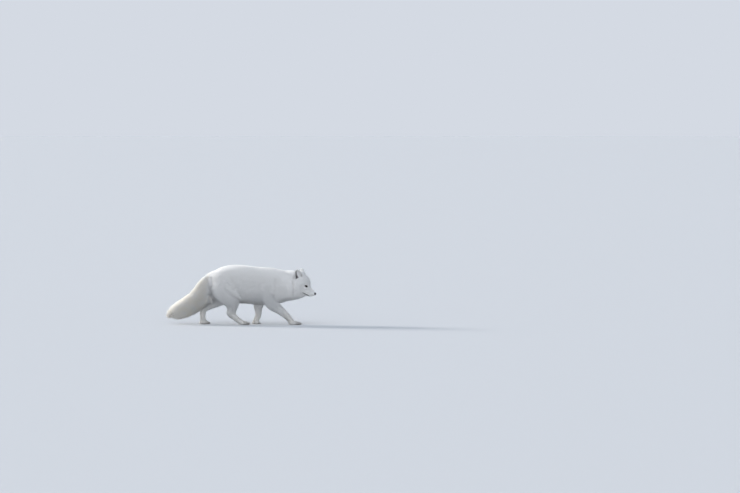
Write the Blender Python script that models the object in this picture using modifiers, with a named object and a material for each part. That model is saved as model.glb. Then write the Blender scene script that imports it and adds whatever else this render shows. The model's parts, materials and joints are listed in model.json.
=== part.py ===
"""An arctic fox in its winter coat, walking, as a life-size still model for a museum.

The outer form of the coat is built from lofts along the spine, head, tail and legs. A voxel
remesh fuses them into one smooth body, and thin cuts then part it where a person would name
its parts. Metres, +Z up, +X forward; the fox's right side is at -Y.
Run it with: blender --background --python part.py
"""

from math import cos, pi, radians, sin

import bmesh
import bpy
from mathutils import Matrix, Vector

# ---------------------------------------------------------------- driving dimensions
GAP = 0.0003  # air left between two pieces that touch
REACH = 0.3  # size of a cutting block that goes right past the body
VOXEL = 0.0035  # grain of the remesh that fuses the forms
BODY_TRIANGLES = 4000  # share of the fused body, before it is parted
TAIL_TRIANGLES = 460
RING_POINTS = 28  # points round each loft
SPAN_RINGS = 4  # rings between two stations of a loft

NOSE_TIP = Vector((0.4030, 0.0, 0.1640))  # before the head is turned
HEAD_PITCH = radians(41.0)  # the nose is carried this far below level
HEAD_YAW = radians(-12.0)  # and the head turned a little to the fox's right
HEAD_PIVOT = Vector((0.270, 0.0, 0.210))

RIGHT, LEFT = -1.0, 1.0  # sign of Y on each side
FORE_TRACK, HIND_TRACK = 0.031, 0.033  # half the distance between left and right prints
LEG_INNER = 0.008  # the belly between the legs, this far each side, stays with the trunk
PAW_WIDTH = 0.042
PAW_HEIGHT = 0.0215
PAW_SUNK = 0.004  # the paw's forms reach this far below the floor before the soles are cut flat
PAW_EGG = -0.10  # a paw is wider at the sole than on top
# The paw's wedge: share of its length, share of its height, share of its width.
PAW_WEDGE = (
    (0.00, 0.62, 0.50),
    (0.20, 1.15, 0.86),
    (0.45, 1.10, 0.98),
    (0.70, 0.95, 0.98),
    (0.86, 0.72, 0.80),
)
TOES = ((-1.5, 0.17), (-0.5, 0.0), (0.5, 0.0), (1.5, 0.17))  # pitches across, share set back
TOE_PITCH = PAW_WIDTH * 0.245
TOE_HALF = (PAW_WIDTH * 0.314, PAW_WIDTH * 0.157, PAW_WIDTH * 0.215)

EYE_RADIUS = 0.0088
EYE_PLACE = (0.0665, 0.0235, 0.0035)  # head frame: behind the nose, to the side, up
EYE_LOOK = (-0.52, 0.85, 0.08)  # the way the eye faces, in the head frame
EYE_OPENING = (0.0090, 0.0056, 0.0070)  # half length, half height and half depth of the lids' gap
EYE_TILT = radians(10.0)
MOUTH_CORNER = (0.060, 0.0, -0.0362)  # head frame: behind the nose and under its bridge
MOUTH_SLOPE = radians(11.0)  # the lips run up towards the nose from there, by this angle
NOSE_PAD = (0.0074, 0.0086, 0.0066)  # half length, half width and half height
NOSE_PLACE = (0.0058, 0.0, -0.0005)  # middle of the nose pad, in the head frame

NECK_CUT = (0.205, 0.200, 6.0)  # x and z of a point of the cut, and its lean back in degrees
HEAD_CUT = (0.283, 0.210, 4.0)
HEAD_CUT_SHARE = 0.6  # share of the head's turn that the cut behind the head follows

# Stations of the lofts. The trunk and neck: x, top line, bottom line, half width.
TORSO = (
    (-0.174, 0.262, 0.212, 0.026),
    (-0.156, 0.285, 0.168, 0.052),
    (-0.126, 0.304, 0.150, 0.070),
    (-0.090, 0.317, 0.128, 0.078),
    (-0.045, 0.324, 0.115, 0.081),
    (0.010, 0.322, 0.112, 0.080),
    (0.065, 0.315, 0.108, 0.079),
    (0.120, 0.310, 0.105, 0.079),
    (0.160, 0.309, 0.105, 0.078),
    (0.200, 0.299, 0.113, 0.075),
    (0.230, 0.293, 0.119, 0.072),
    (0.258, 0.294, 0.126, 0.070),
    (0.285, 0.291, 0.131, 0.066),
    (0.308, 0.279, 0.137, 0.057),
    (0.328, 0.252, 0.143, 0.042),
    (0.345, 0.215, 0.151, 0.022),
)
# The head, in its own frame: distance behind the nose tip, top, bottom, half width.
HEAD = (
    (0.0005, 0.0045, -0.0100, 0.0080),
    (0.006, 0.0065, -0.0205, 0.0135),
    (0.014, 0.0080, -0.0300, 0.0170),
    (0.026, 0.0098, -0.0380, 0.0195),
    (0.038, 0.0118, -0.0450, 0.0225),
    (0.048, 0.0145, -0.0500, 0.0260),
    (0.056, 0.0215, -0.0540, 0.0310),
    (0.065, 0.0320, -0.0570, 0.0385),
    (0.077, 0.0405, -0.0610, 0.0500),
    (0.092, 0.0440, -0.0650, 0.0605),
    (0.108, 0.0455, -0.0670, 0.0660),
    (0.124, 0.0465, -0.0660, 0.0645),
    (0.140, 0.0450, -0.0600, 0.0575),
    (0.153, 0.0370, -0.0480, 0.0430),
    (0.161, 0.0180, -0.0280, 0.0220),
)
# The tail: x, z, radius seen from the side.
TAIL = (
    (-0.140, 0.266, 0.025),
    (-0.172, 0.251, 0.034),
    (-0.196, 0.202, 0.051),
    (-0.220, 0.155, 0.057),
    (-0.256, 0.119, 0.057),
    (-0.297, 0.093, 0.055),
    (-0.338, 0.076, 0.050),
    (-0.373, 0.064, 0.038),
    (-0.395, 0.057, 0.020),
    (-0.405, 0.054, 0.004),
)
# Each leg: x, distance from the mid plane, z, radius seen from the side, radius seen from ahead.
FORE_RIGHT = (
    (0.142, 0.050, 0.222, 0.046, 0.030),
    (0.150, 0.053, 0.160, 0.046, 0.032),
    (0.162, 0.047, 0.116, 0.036, 0.029),
    (0.199, 0.041, 0.086, 0.0265, 0.0225),
    (0.241, 0.035, 0.050, 0.0200, 0.0185),
    (0.262, 0.032, 0.026, 0.0170, 0.0180),
    (0.273, FORE_TRACK, 0.011, 0.0140, 0.0175),
)
FORE_LEFT = (
    (0.130, 0.050, 0.222, 0.046, 0.030),
    (0.106, 0.053, 0.158, 0.044, 0.032),
    (0.090, 0.047, 0.113, 0.033, 0.028),
    (0.088, 0.040, 0.080, 0.0225, 0.0215),
    (0.0885, 0.034, 0.049, 0.0175, 0.0180),
    (0.079, 0.032, 0.027, 0.0165, 0.0175),
    (0.075, FORE_TRACK, 0.011, 0.0155, 0.0175),
)
HIND_RIGHT = (
    (-0.106, 0.044, 0.232, 0.054, 0.034),
    (-0.090, 0.049, 0.182, 0.063, 0.038),
    (-0.059, 0.049, 0.136, 0.051, 0.034),
    (-0.047, 0.043, 0.099, 0.0310, 0.0250),
    (-0.0605, 0.037, 0.066, 0.0245, 0.0195),
    (-0.036, 0.034, 0.041, 0.0180, 0.0175),
    (-0.006, HIND_TRACK, 0.016, 0.0150, 0.0175),
)
HIND_LEFT = (
    (-0.112, 0.044, 0.230, 0.054, 0.034),
    (-0.108, 0.049, 0.182, 0.053, 0.038),
    (-0.117, 0.049, 0.143, 0.046, 0.034),
    (-0.156, 0.043, 0.112, 0.0290, 0.0245),
    (-0.2060, 0.037, 0.083, 0.0205, 0.0185),
    (-0.2125, 0.034, 0.048, 0.0165, 0.0170),
    (-0.2100, HIND_TRACK, 0.015, 0.0170, 0.0170),
)
# Each paw: side, distance from the mid plane, heel x, toe x.
PAWS = {
    "paw_front_right": (RIGHT, FORE_TRACK, 0.252, 0.3205),
    "paw_front_left": (LEFT, FORE_TRACK, 0.054, 0.0985),
    "paw_hind_right": (RIGHT, HIND_TRACK, -0.018, 0.0425),
    "paw_hind_left": (LEFT, HIND_TRACK, -0.232, -0.1750),
}
# The cut above each leg: x and z of a point, its slope in degrees, reach behind and ahead of it.
LEG_CUTS = {
    "leg_hind_right": (-0.060, 0.1380, -22, -0.150, 0.160),
    "leg_hind_left": (-0.120, 0.1600, -22, -0.150, 0.070),
    "leg_front_right": (0.165, 0.1030, 6, -0.062, 0.200),
    "leg_front_left": (0.090, 0.1040, 0, -0.060, 0.055),
}
# The cut above each paw: x and z of a point, and its slope in degrees.
PAW_CUTS = {
    "paw_hind_right": (-0.014, 0.026, 42),
    "paw_hind_left": (-0.211, 0.030, 0),
    "paw_front_right": (0.262, 0.029, 46),
    "paw_front_left": (0.078, 0.027, -14),
}
PAW_REACH = 0.13
# Each ear, before the head turns: base centre and tip for the +Y side.
EAR_BASE = Vector((0.3230, 0.0455, 0.2480))
EAR_TIP = Vector((0.3142, 0.0610, 0.2990))
EAR_FACING = Vector((0.62, 0.76, -0.08))  # the way the open side looks
EAR_WIDTH = 0.042
EAR_CUP = 0.011  # depth of its hollow
EAR_THICKNESS = 0.0070
EAR_COLUMNS, EAR_ROWS = 8, 7

COAT_WHITE = (0.83, 0.83, 0.82, 1.0)
TAIL_WHITE = (0.84, 0.82, 0.77, 1.0)
NOSE_BLACK = (0.014, 0.013, 0.014, 1.0)
EYE_BROWN = (0.022, 0.013, 0.008, 1.0)


# ---------------------------------------------------------------- scene and helpers
def clear_scene():
    for obj in list(bpy.data.objects):
        bpy.data.objects.remove(obj)


def make_collection(name):
    collection = bpy.data.collections.new(name)
    bpy.context.scene.collection.children.link(collection)
    return collection


def make_material(name, colour, roughness):
    material = bpy.data.materials.new(name)
    material.use_nodes = True
    shader = material.node_tree.nodes["Principled BSDF"]
    shader.inputs["Base Color"].default_value = colour
    shader.inputs["Roughness"].default_value = roughness
    shader.inputs["Metallic"].default_value = 0.0
    material.diffuse_color = colour
    return material


def object_from(name, mesh, collection):
    obj = bpy.data.objects.new(name, mesh)
    collection.objects.link(obj)
    return obj


def evaluated_copy(obj, name, collection):
    """A new object that holds obj's mesh with its modifiers carried out."""
    bpy.context.view_layer.update()
    graph = bpy.context.evaluated_depsgraph_get()
    mesh = bpy.data.meshes.new_from_object(obj.evaluated_get(graph))
    copy = object_from(name, mesh, collection)
    copy.matrix_world = obj.matrix_world
    return copy


def apply_modifiers(obj):
    bpy.context.view_layer.update()
    graph = bpy.context.evaluated_depsgraph_get()
    mesh = bpy.data.meshes.new_from_object(obj.evaluated_get(graph))
    obj.modifiers.clear()
    obj.data = mesh


def spline(rows, steps):
    """Rows of numbers joined by a Catmull-Rom curve, with steps rows to each span."""
    rows = [Vector(row) for row in rows]
    first = rows[0] * 2 - rows[1]
    last = rows[-1] * 2 - rows[-2]
    padded = [first, *rows, last]
    curve = []
    for i in range(1, len(padded) - 2):
        a, b, c, d = padded[i - 1 : i + 3]
        for k in range(steps):
            t = k / steps
            curve.append(
                (b * 2 + (c - a) * t + (a * 2 - b * 5 + c * 4 - d) * t**2
                 + (b * 3 - a - c * 3 + d) * t**3) / 2
            )
    curve.append(rows[-1])
    return curve


def bridge_rings(mesh, rings):
    """Fills the faces between successive rings of vertices, and closes both ends."""
    for near, far in zip(rings, rings[1:]):
        for i in range(len(near)):
            j = (i + 1) % len(near)
            mesh.faces.new((near[i], near[j], far[j], far[i]))
    mesh.faces.new(rings[0][::-1])
    mesh.faces.new(rings[-1])


def loft(name, sections, collection):
    """A closed form through sections: each is a centre, two half axes and an egg shape.

    egg narrows the top of the section and widens its foot, as in a fox's face or chest."""
    mesh = bmesh.new()
    rings = []
    for centre, side, up, egg in sections:
        ring = []
        for i in range(RING_POINTS):
            angle = 2 * pi * i / RING_POINTS
            width = cos(angle) * (1 - egg * sin(angle))
            ring.append(mesh.verts.new(centre + side * width + up * sin(angle)))
        rings.append(ring)
    bridge_rings(mesh, rings)
    bmesh.ops.recalc_face_normals(mesh, faces=mesh.faces)
    data = bpy.data.meshes.new(name)
    mesh.to_mesh(data)
    mesh.free()
    return object_from(name, data, collection)


def upright_loft(name, stations, frame, egg, collection):
    """A loft whose sections stand across the X axis of frame, between a top and a bottom line."""
    axis_x, axis_y, axis_z = (frame.to_3x3().col[i].copy() for i in range(3))
    sections = []
    for along, top, bottom, half_width in spline(stations, SPAN_RINGS):
        middle, half = (top + bottom) / 2, (top - bottom) / 2
        centre = frame.translation + axis_x * along + axis_z * middle
        sections.append((centre, axis_y * half_width, axis_z * half, egg))
    return loft(name, sections, collection)


def limb(name, rows, collection):
    """A loft along a bent path: each row is a place, its radius seen from the side, and across."""
    rows = spline(rows, SPAN_RINGS)
    places = [Vector(row[:3]) for row in rows]
    sections = []
    for i, row in enumerate(rows):
        before, after = places[max(i - 1, 0)], places[min(i + 1, len(places) - 1)]
        along = (after - before).normalized()
        side = Vector((0, 1, 0)) - along * along.y
        side.normalize()
        up = side.cross(along)
        sections.append((places[i], side * row[4], up * row[3], 0.0))
    return loft(name, sections, collection)


def ellipsoid(name, centre, half_sizes, turn, collection, segments=16, rings=10):
    mesh = bmesh.new()
    size = Matrix.Diagonal((*half_sizes, 1.0))
    place = Matrix.Translation(centre) @ turn.to_4x4() @ size
    bmesh.ops.create_uvsphere(mesh, u_segments=segments, v_segments=rings, radius=1.0, matrix=place)
    data = bpy.data.meshes.new(name)
    mesh.to_mesh(data)
    mesh.free()
    return object_from(name, data, collection)


def block(name, low, high, frame, collection, grow=0.0):
    """A box between two corners of frame, as a cutter."""
    low, high = Vector(low), Vector(high)
    size = high - low + Vector((2 * grow,) * 3)
    mesh = bmesh.new()
    place = frame @ Matrix.Translation((low + high) / 2) @ Matrix.Diagonal((*size, 1.0))
    bmesh.ops.create_cube(mesh, size=1.0, matrix=place)
    data = bpy.data.meshes.new(name)
    mesh.to_mesh(data)
    mesh.free()
    return object_from(name, data, collection)


def hide_as_cutter(obj):
    obj.hide_render = True
    obj.display_type = "WIRE"


def boolean(obj, operation, other):
    modifier = obj.modifiers.new(operation.title(), "BOOLEAN")
    modifier.operation = operation
    modifier.object = other
    modifier.solver = "EXACT"
    apply_modifiers(obj)


def grown_copy(obj, collection):
    """A copy that stands GAP proud of obj all over, to cut its neighbours with."""
    copy = evaluated_copy(obj, obj.name + "_clearance", collection)
    displace = copy.modifiers.new("Grow", "DISPLACE")
    displace.strength = GAP
    displace.mid_level = 0.0
    apply_modifiers(copy)
    hide_as_cutter(copy)
    return copy


# ---------------------------------------------------------------- frames of the head
def head_turn():
    """The head's small turn to one side, about the neck."""
    return (
        Matrix.Translation(HEAD_PIVOT)
        @ Matrix.Rotation(HEAD_YAW, 4, "Z")
        @ Matrix.Translation(-HEAD_PIVOT)
    )


def head_frame():
    """X runs back from the nose tip, Y to the fox's right and Z up from its bridge."""
    back = Vector((-cos(HEAD_PITCH), 0, sin(HEAD_PITCH)))
    up = Vector((sin(HEAD_PITCH), 0, cos(HEAD_PITCH)))
    across = Vector((0, -1, 0))
    axes = Matrix((back, across, up)).transposed().to_4x4()
    return head_turn() @ Matrix.Translation(NOSE_TIP) @ axes


# ---------------------------------------------------------------- the forms of the body
def make_paw(name, side, track, heel, toe, collection):
    """The furred foot: a low wedge, and four toes at its front."""
    length = toe - heel
    middle = side * track
    rows = [
        (heel + length * share, PAW_HEIGHT * high, -PAW_SUNK, PAW_WIDTH / 2 * wide)
        for share, high, wide in PAW_WEDGE
    ]
    frame = Matrix.Translation((0, middle, 0))
    forms = [upright_loft(name + "_pad", rows, frame, PAW_EGG, collection)]
    for across, setback in TOES:
        centre = Vector((
            toe - TOE_HALF[0] * 0.76 - length * setback,
            middle + across * TOE_PITCH,
            TOE_HALF[2] * 0.81,
        ))
        forms.append(ellipsoid(name + "_toe", centre, TOE_HALF, Matrix.Identity(3), collection))
    return forms


def on_side(rows, side):
    return [(x, side * y, z, deep, wide) for x, y, z, deep, wide in rows]


def fuse(name, forms, triangles, collection):
    """Joins overlapping forms in one closed, smooth surface of about that many triangles."""
    mesh = bmesh.new()
    for form in forms:
        mesh.from_mesh(form.data)
        bpy.data.objects.remove(form)
    data = bpy.data.meshes.new(name)
    mesh.to_mesh(data)
    mesh.free()
    fused = object_from(name, data, collection)
    remesh = fused.modifiers.new("Fuse", "REMESH")
    remesh.mode = "VOXEL"
    remesh.voxel_size = VOXEL
    smooth = fused.modifiers.new("Smooth", "SMOOTH")
    smooth.factor = 0.5
    smooth.iterations = 7
    apply_modifiers(fused)
    decimate = fused.modifiers.new("Decimate", "DECIMATE")
    decimate.ratio = triangles / (2 * len(fused.data.polygons))
    apply_modifiers(fused)
    return fused


def stand_on_floor(obj, collection):
    """Cuts the soles flat at the floor."""
    under = block("under_floor", (-1, -1, -0.1), (1, 1, 0.0), Matrix.Identity(4), collection)
    hide_as_cutter(under)
    boolean(obj, "DIFFERENCE", under)


def make_body(collection):
    frame = Matrix.Identity(4)
    forms = [
        upright_loft("torso_form", TORSO, frame, 0.05, collection),
        upright_loft("head_form", HEAD, head_frame(), 0.13, collection),
        limb("fore_right_form", on_side(FORE_RIGHT, RIGHT), collection),
        limb("fore_left_form", on_side(FORE_LEFT, LEFT), collection),
        limb("hind_right_form", on_side(HIND_RIGHT, RIGHT), collection),
        limb("hind_left_form", on_side(HIND_LEFT, LEFT), collection),
    ]
    for name, (side, track, heel, toe) in PAWS.items():
        forms += make_paw(name, side, track, heel, toe, collection)
    body = fuse("trunk", forms, BODY_TRIANGLES, collection)
    stand_on_floor(body, collection)
    return body


def make_tail(body, collection):
    """The brush, trimmed where it leaves the rump and brushes past the left hind leg."""
    rows = [(x, 0.0, z, radius, radius * 0.88) for x, z, radius in TAIL]
    tail = fuse("tail", [limb("tail_form", rows, collection)], TAIL_TRIANGLES, collection)
    boolean(tail, "DIFFERENCE", grown_copy(body, cutters))
    return tail


def ear_outline(height):
    """Share of the ear's full width at a share of its height: straight sides, then a round end."""
    round_end = (1 - max(0.0, (height - 0.40) / 0.60) ** 2.6) ** 0.5
    return (0.90 + 0.10 * sin(pi * min(height / 0.6, 1.0))) * max(round_end, 0.28)


def make_ear(name, side, body, collection):
    """A rounded, cupped leaf, thickened as its short fur does, and trimmed to the head."""
    mirror = Vector((1, side, 1))
    base, tip, facing = EAR_BASE * mirror, EAR_TIP * mirror, EAR_FACING * mirror
    rise = tip - base
    up = rise.normalized()
    facing = (facing - up * facing.dot(up)).normalized()
    across = facing.cross(up)
    mesh = bmesh.new()
    grid = []
    for i in range(EAR_ROWS + 1):
        height = i / EAR_ROWS
        half = EAR_WIDTH / 2 * ear_outline(height)
        row = []
        for j in range(EAR_COLUMNS + 1):
            share = 2 * j / EAR_COLUMNS - 1
            hollow = EAR_CUP * (1 - height * 0.45) * (share**2 - 1)
            place = base + rise * height + across * share * half + facing * hollow
            row.append(mesh.verts.new(place))
        grid.append(row)
    for low, high in zip(grid, grid[1:]):
        for j in range(EAR_COLUMNS):
            mesh.faces.new((low[j], low[j + 1], high[j + 1], high[j]))
    data = bpy.data.meshes.new(name)
    mesh.to_mesh(data)
    mesh.free()
    data.transform(head_turn())
    ear = object_from(name, data, collection)
    solidify = ear.modifiers.new("Thickness", "SOLIDIFY")
    solidify.thickness = EAR_THICKNESS
    solidify.offset = 0.0
    bevel = ear.modifiers.new("Rim", "BEVEL")
    bevel.width = EAR_THICKNESS * 0.4
    bevel.segments = 2
    bevel.limit_method = "ANGLE"
    apply_modifiers(ear)
    repair = bmesh.new()
    repair.from_mesh(ear.data)
    bmesh.ops.recalc_face_normals(repair, faces=repair.faces)
    repair.to_mesh(ear.data)
    repair.free()
    boolean(ear, "DIFFERENCE", grown_copy(body, cutters))
    return ear


def make_eye(name, side, head, collection):
    """The eyeball behind its almond opening, both sunk in the head."""
    frame = head_frame()
    # The head frame's Y points to the fox's right, so a place on the left side has -Y there.
    mirror = Vector((1, -side, 1))
    centre = frame @ (Vector(EYE_PLACE) * mirror)
    look = (frame.to_3x3() @ (Vector(EYE_LOOK) * mirror)).normalized()
    length = frame.to_3x3() @ Vector((cos(EYE_TILT), 0, -sin(EYE_TILT)))
    length = (length - look * length.dot(look)).normalized()
    turn = Matrix((length, look.cross(length), look)).transposed()
    eye = ellipsoid(name, centre, (EYE_RADIUS,) * 3, turn, collection)
    socket = ellipsoid(name + "_socket", centre, (EYE_RADIUS + GAP,) * 3, turn, cutters)
    opening_centre = centre + look * EYE_RADIUS
    opening = ellipsoid(name + "_opening", opening_centre, EYE_OPENING, turn, cutters)
    for cutter in (socket, opening):
        hide_as_cutter(cutter)
        boolean(head, "DIFFERENCE", cutter)
    return eye


def make_nose(head, collection):
    """The bare black nose pad at the end of the muzzle."""
    frame = head_frame()
    centre = frame @ Vector(NOSE_PLACE)
    turn = frame.to_3x3()
    nose = ellipsoid("nose", centre, NOSE_PAD, turn, collection)
    pocket_size = [size + GAP for size in NOSE_PAD]
    pocket = ellipsoid("nose_pocket", centre, pocket_size, turn, cutters)
    hide_as_cutter(pocket)
    boolean(head, "DIFFERENCE", pocket)
    return nose


# ---------------------------------------------------------------- parting the body
def part_off(name, body, low, high, frame, collection):
    """Takes what lies in a box out of the body, as a piece of its own with a thin gap."""
    piece = evaluated_copy(body, name, collection)
    inner = block(name + "_block", low, high, frame, cutters)
    outer = block(name + "_block_clearance", low, high, frame, cutters, grow=GAP)
    for cutter in (inner, outer):
        hide_as_cutter(cutter)
    boolean(piece, "INTERSECT", inner)
    boolean(body, "DIFFERENCE", outer)
    return piece


def tilted(x, z, degrees):
    """A frame at a point of the mid plane, its X axis pitched up by that angle."""
    return Matrix.Translation((x, 0, z)) @ Matrix.Rotation(radians(-degrees), 4, "Y")


def part_legs(body, collection):
    """Each leg below a plane at the belly line, and each paw below its wrist or hock."""
    pieces = []
    for name, (x, z, slope, behind, ahead) in LEG_CUTS.items():
        near, far = (-REACH, -LEG_INNER) if name.endswith("right") else (LEG_INNER, REACH)
        low, high = (behind, near, -REACH), (ahead, far, 0.0)
        leg = part_off(name, body, low, high, tilted(x, z, slope), collection)
        paw_name = name.replace("leg", "paw")
        low, high = (-PAW_REACH, near, -REACH), (PAW_REACH, far, 0.0)
        paw = part_off(paw_name, leg, low, high, tilted(*PAW_CUTS[paw_name]), collection)
        pieces += [leg, paw]
    return pieces


def part_head_and_neck(body, collection):
    """The neck ahead of one cut, the head ahead of the next, and the jaw below the lips."""
    x, z, lean = NECK_CUT
    neck = part_off("neck", body, (0, -REACH, -REACH), (REACH, REACH, REACH),
                    tilted(x, z, lean), collection)
    x, z, lean = HEAD_CUT
    head_plane = tilted(x, z, -lean) @ Matrix.Rotation(HEAD_YAW * HEAD_CUT_SHARE, 4, "Z")
    head = part_off("head", neck, (0, -REACH, -REACH), (REACH, REACH, REACH),
                    head_plane, collection)
    mouth = head_frame() @ Matrix.Translation(MOUTH_CORNER)
    mouth = mouth @ Matrix.Rotation(MOUTH_SLOPE, 4, "Y")
    jaw = part_off("jaw", head, (-REACH, -REACH, -REACH), (0, REACH, 0), mouth, collection)
    return [neck, head, jaw]


def shade(obj, material):
    obj.data.materials.clear()
    obj.data.materials.append(material)
    obj.data.shade_smooth()
    obj.data.set_sharp_from_angle(angle=radians(40))


def centre_over_floor(objects):
    """Puts the origin at the middle of the model's footprint, on the floor."""
    corners = [v.co for obj in objects for v in obj.data.vertices]
    shift = Vector((
        (min(c.x for c in corners) + max(c.x for c in corners)) / 2,
        (min(c.y for c in corners) + max(c.y for c in corners)) / 2,
        min(c.z for c in corners),
    ))
    for obj in objects:
        obj.data.transform(Matrix.Translation(-shift))


# ---------------------------------------------------------------- building it
clear_scene()
fox = make_collection("Arctic fox")
cutters = make_collection("Cutters")

body = make_body(fox)
tail = make_tail(body, fox)
ears = [make_ear("ear_right", RIGHT, body, fox), make_ear("ear_left", LEFT, body, fox)]
legs = part_legs(body, fox)
neck, head, jaw = part_head_and_neck(body, fox)
eyes = [make_eye("eye_right", RIGHT, head, fox), make_eye("eye_left", LEFT, head, fox)]
nose = make_nose(head, fox)

coat = make_material("winter_coat", COAT_WHITE, 0.9)
brush = make_material("tail_brush", TAIL_WHITE, 0.92)
leather = make_material("nose_leather", NOSE_BLACK, 0.38)
eyeball = make_material("eyeball", EYE_BROWN, 0.06)
for obj in [body, neck, head, jaw, *ears, *legs]:
    shade(obj, coat)
shade(tail, brush)
shade(nose, leather)
for eye in eyes:
    shade(eye, eyeball)
centre_over_floor([body, tail, neck, head, jaw, nose, *ears, *eyes, *legs])
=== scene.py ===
# %% [markdown]
# # An arctic fox in its winter coat
# A still, life-size model, as a museum shows one: a skin shaped from the solids of the body, a
# coat of many thousand small locks over it, and separate eyes, nose, claws and whiskers.
# Everything is in metres, with the fox walking towards +X and its right side at -Y.

# %% Load the solids
import json
from math import cos, pi, radians, sin

import bmesh
import bpy
import numpy as np
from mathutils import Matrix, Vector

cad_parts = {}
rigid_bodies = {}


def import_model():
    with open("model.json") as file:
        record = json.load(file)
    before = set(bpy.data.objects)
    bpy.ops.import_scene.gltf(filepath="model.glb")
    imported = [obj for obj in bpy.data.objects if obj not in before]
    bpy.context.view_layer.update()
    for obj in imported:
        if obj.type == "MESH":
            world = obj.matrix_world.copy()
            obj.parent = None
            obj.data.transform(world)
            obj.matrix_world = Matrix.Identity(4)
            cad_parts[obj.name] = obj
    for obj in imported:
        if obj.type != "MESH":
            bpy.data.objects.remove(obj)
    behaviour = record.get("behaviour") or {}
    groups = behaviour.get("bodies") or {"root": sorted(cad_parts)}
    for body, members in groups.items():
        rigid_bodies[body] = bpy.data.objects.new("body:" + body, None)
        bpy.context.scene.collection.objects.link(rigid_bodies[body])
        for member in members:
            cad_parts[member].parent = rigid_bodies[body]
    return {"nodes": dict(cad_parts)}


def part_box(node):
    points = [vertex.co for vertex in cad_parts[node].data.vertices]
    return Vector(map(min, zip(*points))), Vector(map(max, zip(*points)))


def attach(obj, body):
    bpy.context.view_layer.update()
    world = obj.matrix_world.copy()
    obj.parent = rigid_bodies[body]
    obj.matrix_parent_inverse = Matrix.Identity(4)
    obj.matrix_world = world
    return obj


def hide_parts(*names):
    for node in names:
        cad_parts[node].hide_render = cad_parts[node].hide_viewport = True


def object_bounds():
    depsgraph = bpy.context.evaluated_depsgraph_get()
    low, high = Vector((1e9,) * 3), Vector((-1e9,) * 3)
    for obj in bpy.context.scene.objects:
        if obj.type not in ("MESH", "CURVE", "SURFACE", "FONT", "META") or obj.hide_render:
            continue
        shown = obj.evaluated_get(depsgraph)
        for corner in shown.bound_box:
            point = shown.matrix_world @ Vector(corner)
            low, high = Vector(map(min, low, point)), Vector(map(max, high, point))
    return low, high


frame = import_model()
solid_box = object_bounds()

import openvdb
from mathutils import Matrix, Vector

print("solids:", len(frame["nodes"]), "box:", [tuple(round(c, 4) for c in p) for p in solid_box])

# %% [markdown]
# ## The skin
# The solids show the fox out to the tips of its coat, so the skin lies inside them by the depth
# of the fur there: a few millimetres on the muzzle and feet, several centimetres on the tail.
# Such a shape could be sculpted by hand. A distance field does it by measure: each small cell of
# space holds how far it is from the surface, and where that equals the depth of the coat, a
# new surface is drawn. It closes the thin gaps between the solids as well, so no seam is left.

# %% Groups of flesh, and the grid of cells
BODY_NODES = ("trunk", "neck", "head", "jaw", "tail", "nose", "eye_right", "eye_left")
LEG_NODES = ("leg_front_right", "leg_front_left", "leg_hind_right", "leg_hind_left")
PAW_NODES = ("paw_front_right", "paw_front_left", "paw_hind_right", "paw_hind_left")

CELL = 0.0016
MARGIN = 0.010
grid_low = np.floor((np.array(solid_box[0]) - MARGIN) / CELL).astype(int)
grid_high = np.ceil((np.array(solid_box[1]) + MARGIN) / CELL).astype(int)
grid_shape = tuple(grid_high - grid_low + 1)
grid_corner = tuple(int(i) for i in grid_low)
cells = openvdb.createLinearTransform(CELL)
print("cells of the grid:", grid_shape)


# %% Distance fields
def read_all(items, name, width=1, kind=float):
    """A value, or width of them, for every item of a mesh: for its points, edges, corners or faces."""
    values = np.empty(len(items) * width, kind)
    items.foreach_get(name, values)
    return values.reshape(-1, width) if width > 1 else values


def surface_of(names):
    """Points and triangles of some solids together."""
    points, triangles, count = [], [], 0
    for name in names:
        mesh = frame["nodes"][name].data
        mesh.calc_loop_triangles()
        points.append(read_all(mesh.vertices, "co", 3, np.float32))
        triangles.append(read_all(mesh.loop_triangles, "vertices", 3, np.int32) + count)
        count += len(mesh.vertices)
    return np.concatenate(points), np.concatenate(triangles).astype(np.uint32)


def distance_grid(points, triangles=None, quads=None, outside=4.0, inside=4.0):
    return openvdb.FloatGrid.createLevelSetFromPolygons(
        points, triangles, quads, cells, exBandWidth=outside, inBandWidth=inside
    )


def as_array(grid):
    values = np.empty(grid_shape, np.float32)
    grid.copyToArray(values, ijk=grid_corner)
    return values


CLOSING = 0.0016  # the surface is first drawn this far out, which closes the gaps between solids
DEEPEST = 0.042  # distances are known down to this depth


def flesh_field(names):
    """Signed distance to the joint surface of some solids, in metres, negative inside."""
    points, triangles = surface_of(names)
    grown = distance_grid(points, triangles)
    shell, faces = grown.convertToQuads(CLOSING)
    solid = distance_grid(shell, quads=faces, outside=6.0, inside=DEEPEST / CELL)
    return as_array(solid) + CLOSING


body_field = flesh_field(BODY_NODES)
legs_field = flesh_field(("trunk",) + LEG_NODES + PAW_NODES)
print("deepest cell inside the body: %.1f mm" % (-1000 * body_field.min()))

# %% [markdown]
# ## The head's own frame
# The fox carries its head low and turned a little to its right. Measures of the face are easier to
# say along the head itself: X runs back from the tip of the nose, Y to the fox's right and Z up
# from the bridge of the nose. The nose pad's solid says where that frame sits.

# %% Head frame
HEAD_PITCH = radians(41.0)
HEAD_YAW = radians(-12.0)
NOSE_PLACE = Vector((0.0058, 0.0, -0.0005))  # middle of the nose pad


def middle_of(node):
    low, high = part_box(node)
    return (low + high) / 2


head_axes = Matrix.Rotation(HEAD_YAW, 3, "Z") @ Matrix((
    (-cos(HEAD_PITCH), 0, sin(HEAD_PITCH)),
    (0, -1, 0),
    (sin(HEAD_PITCH), 0, cos(HEAD_PITCH)),
)).transposed()
nose_tip = middle_of("nose") - head_axes @ NOSE_PLACE
head_rows = np.array(head_axes.transposed())


def from_head(points):
    """Places given along the head, in the frame of the whole fox."""
    return np.asarray(points, float) @ head_rows + np.array(nose_tip)


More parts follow.
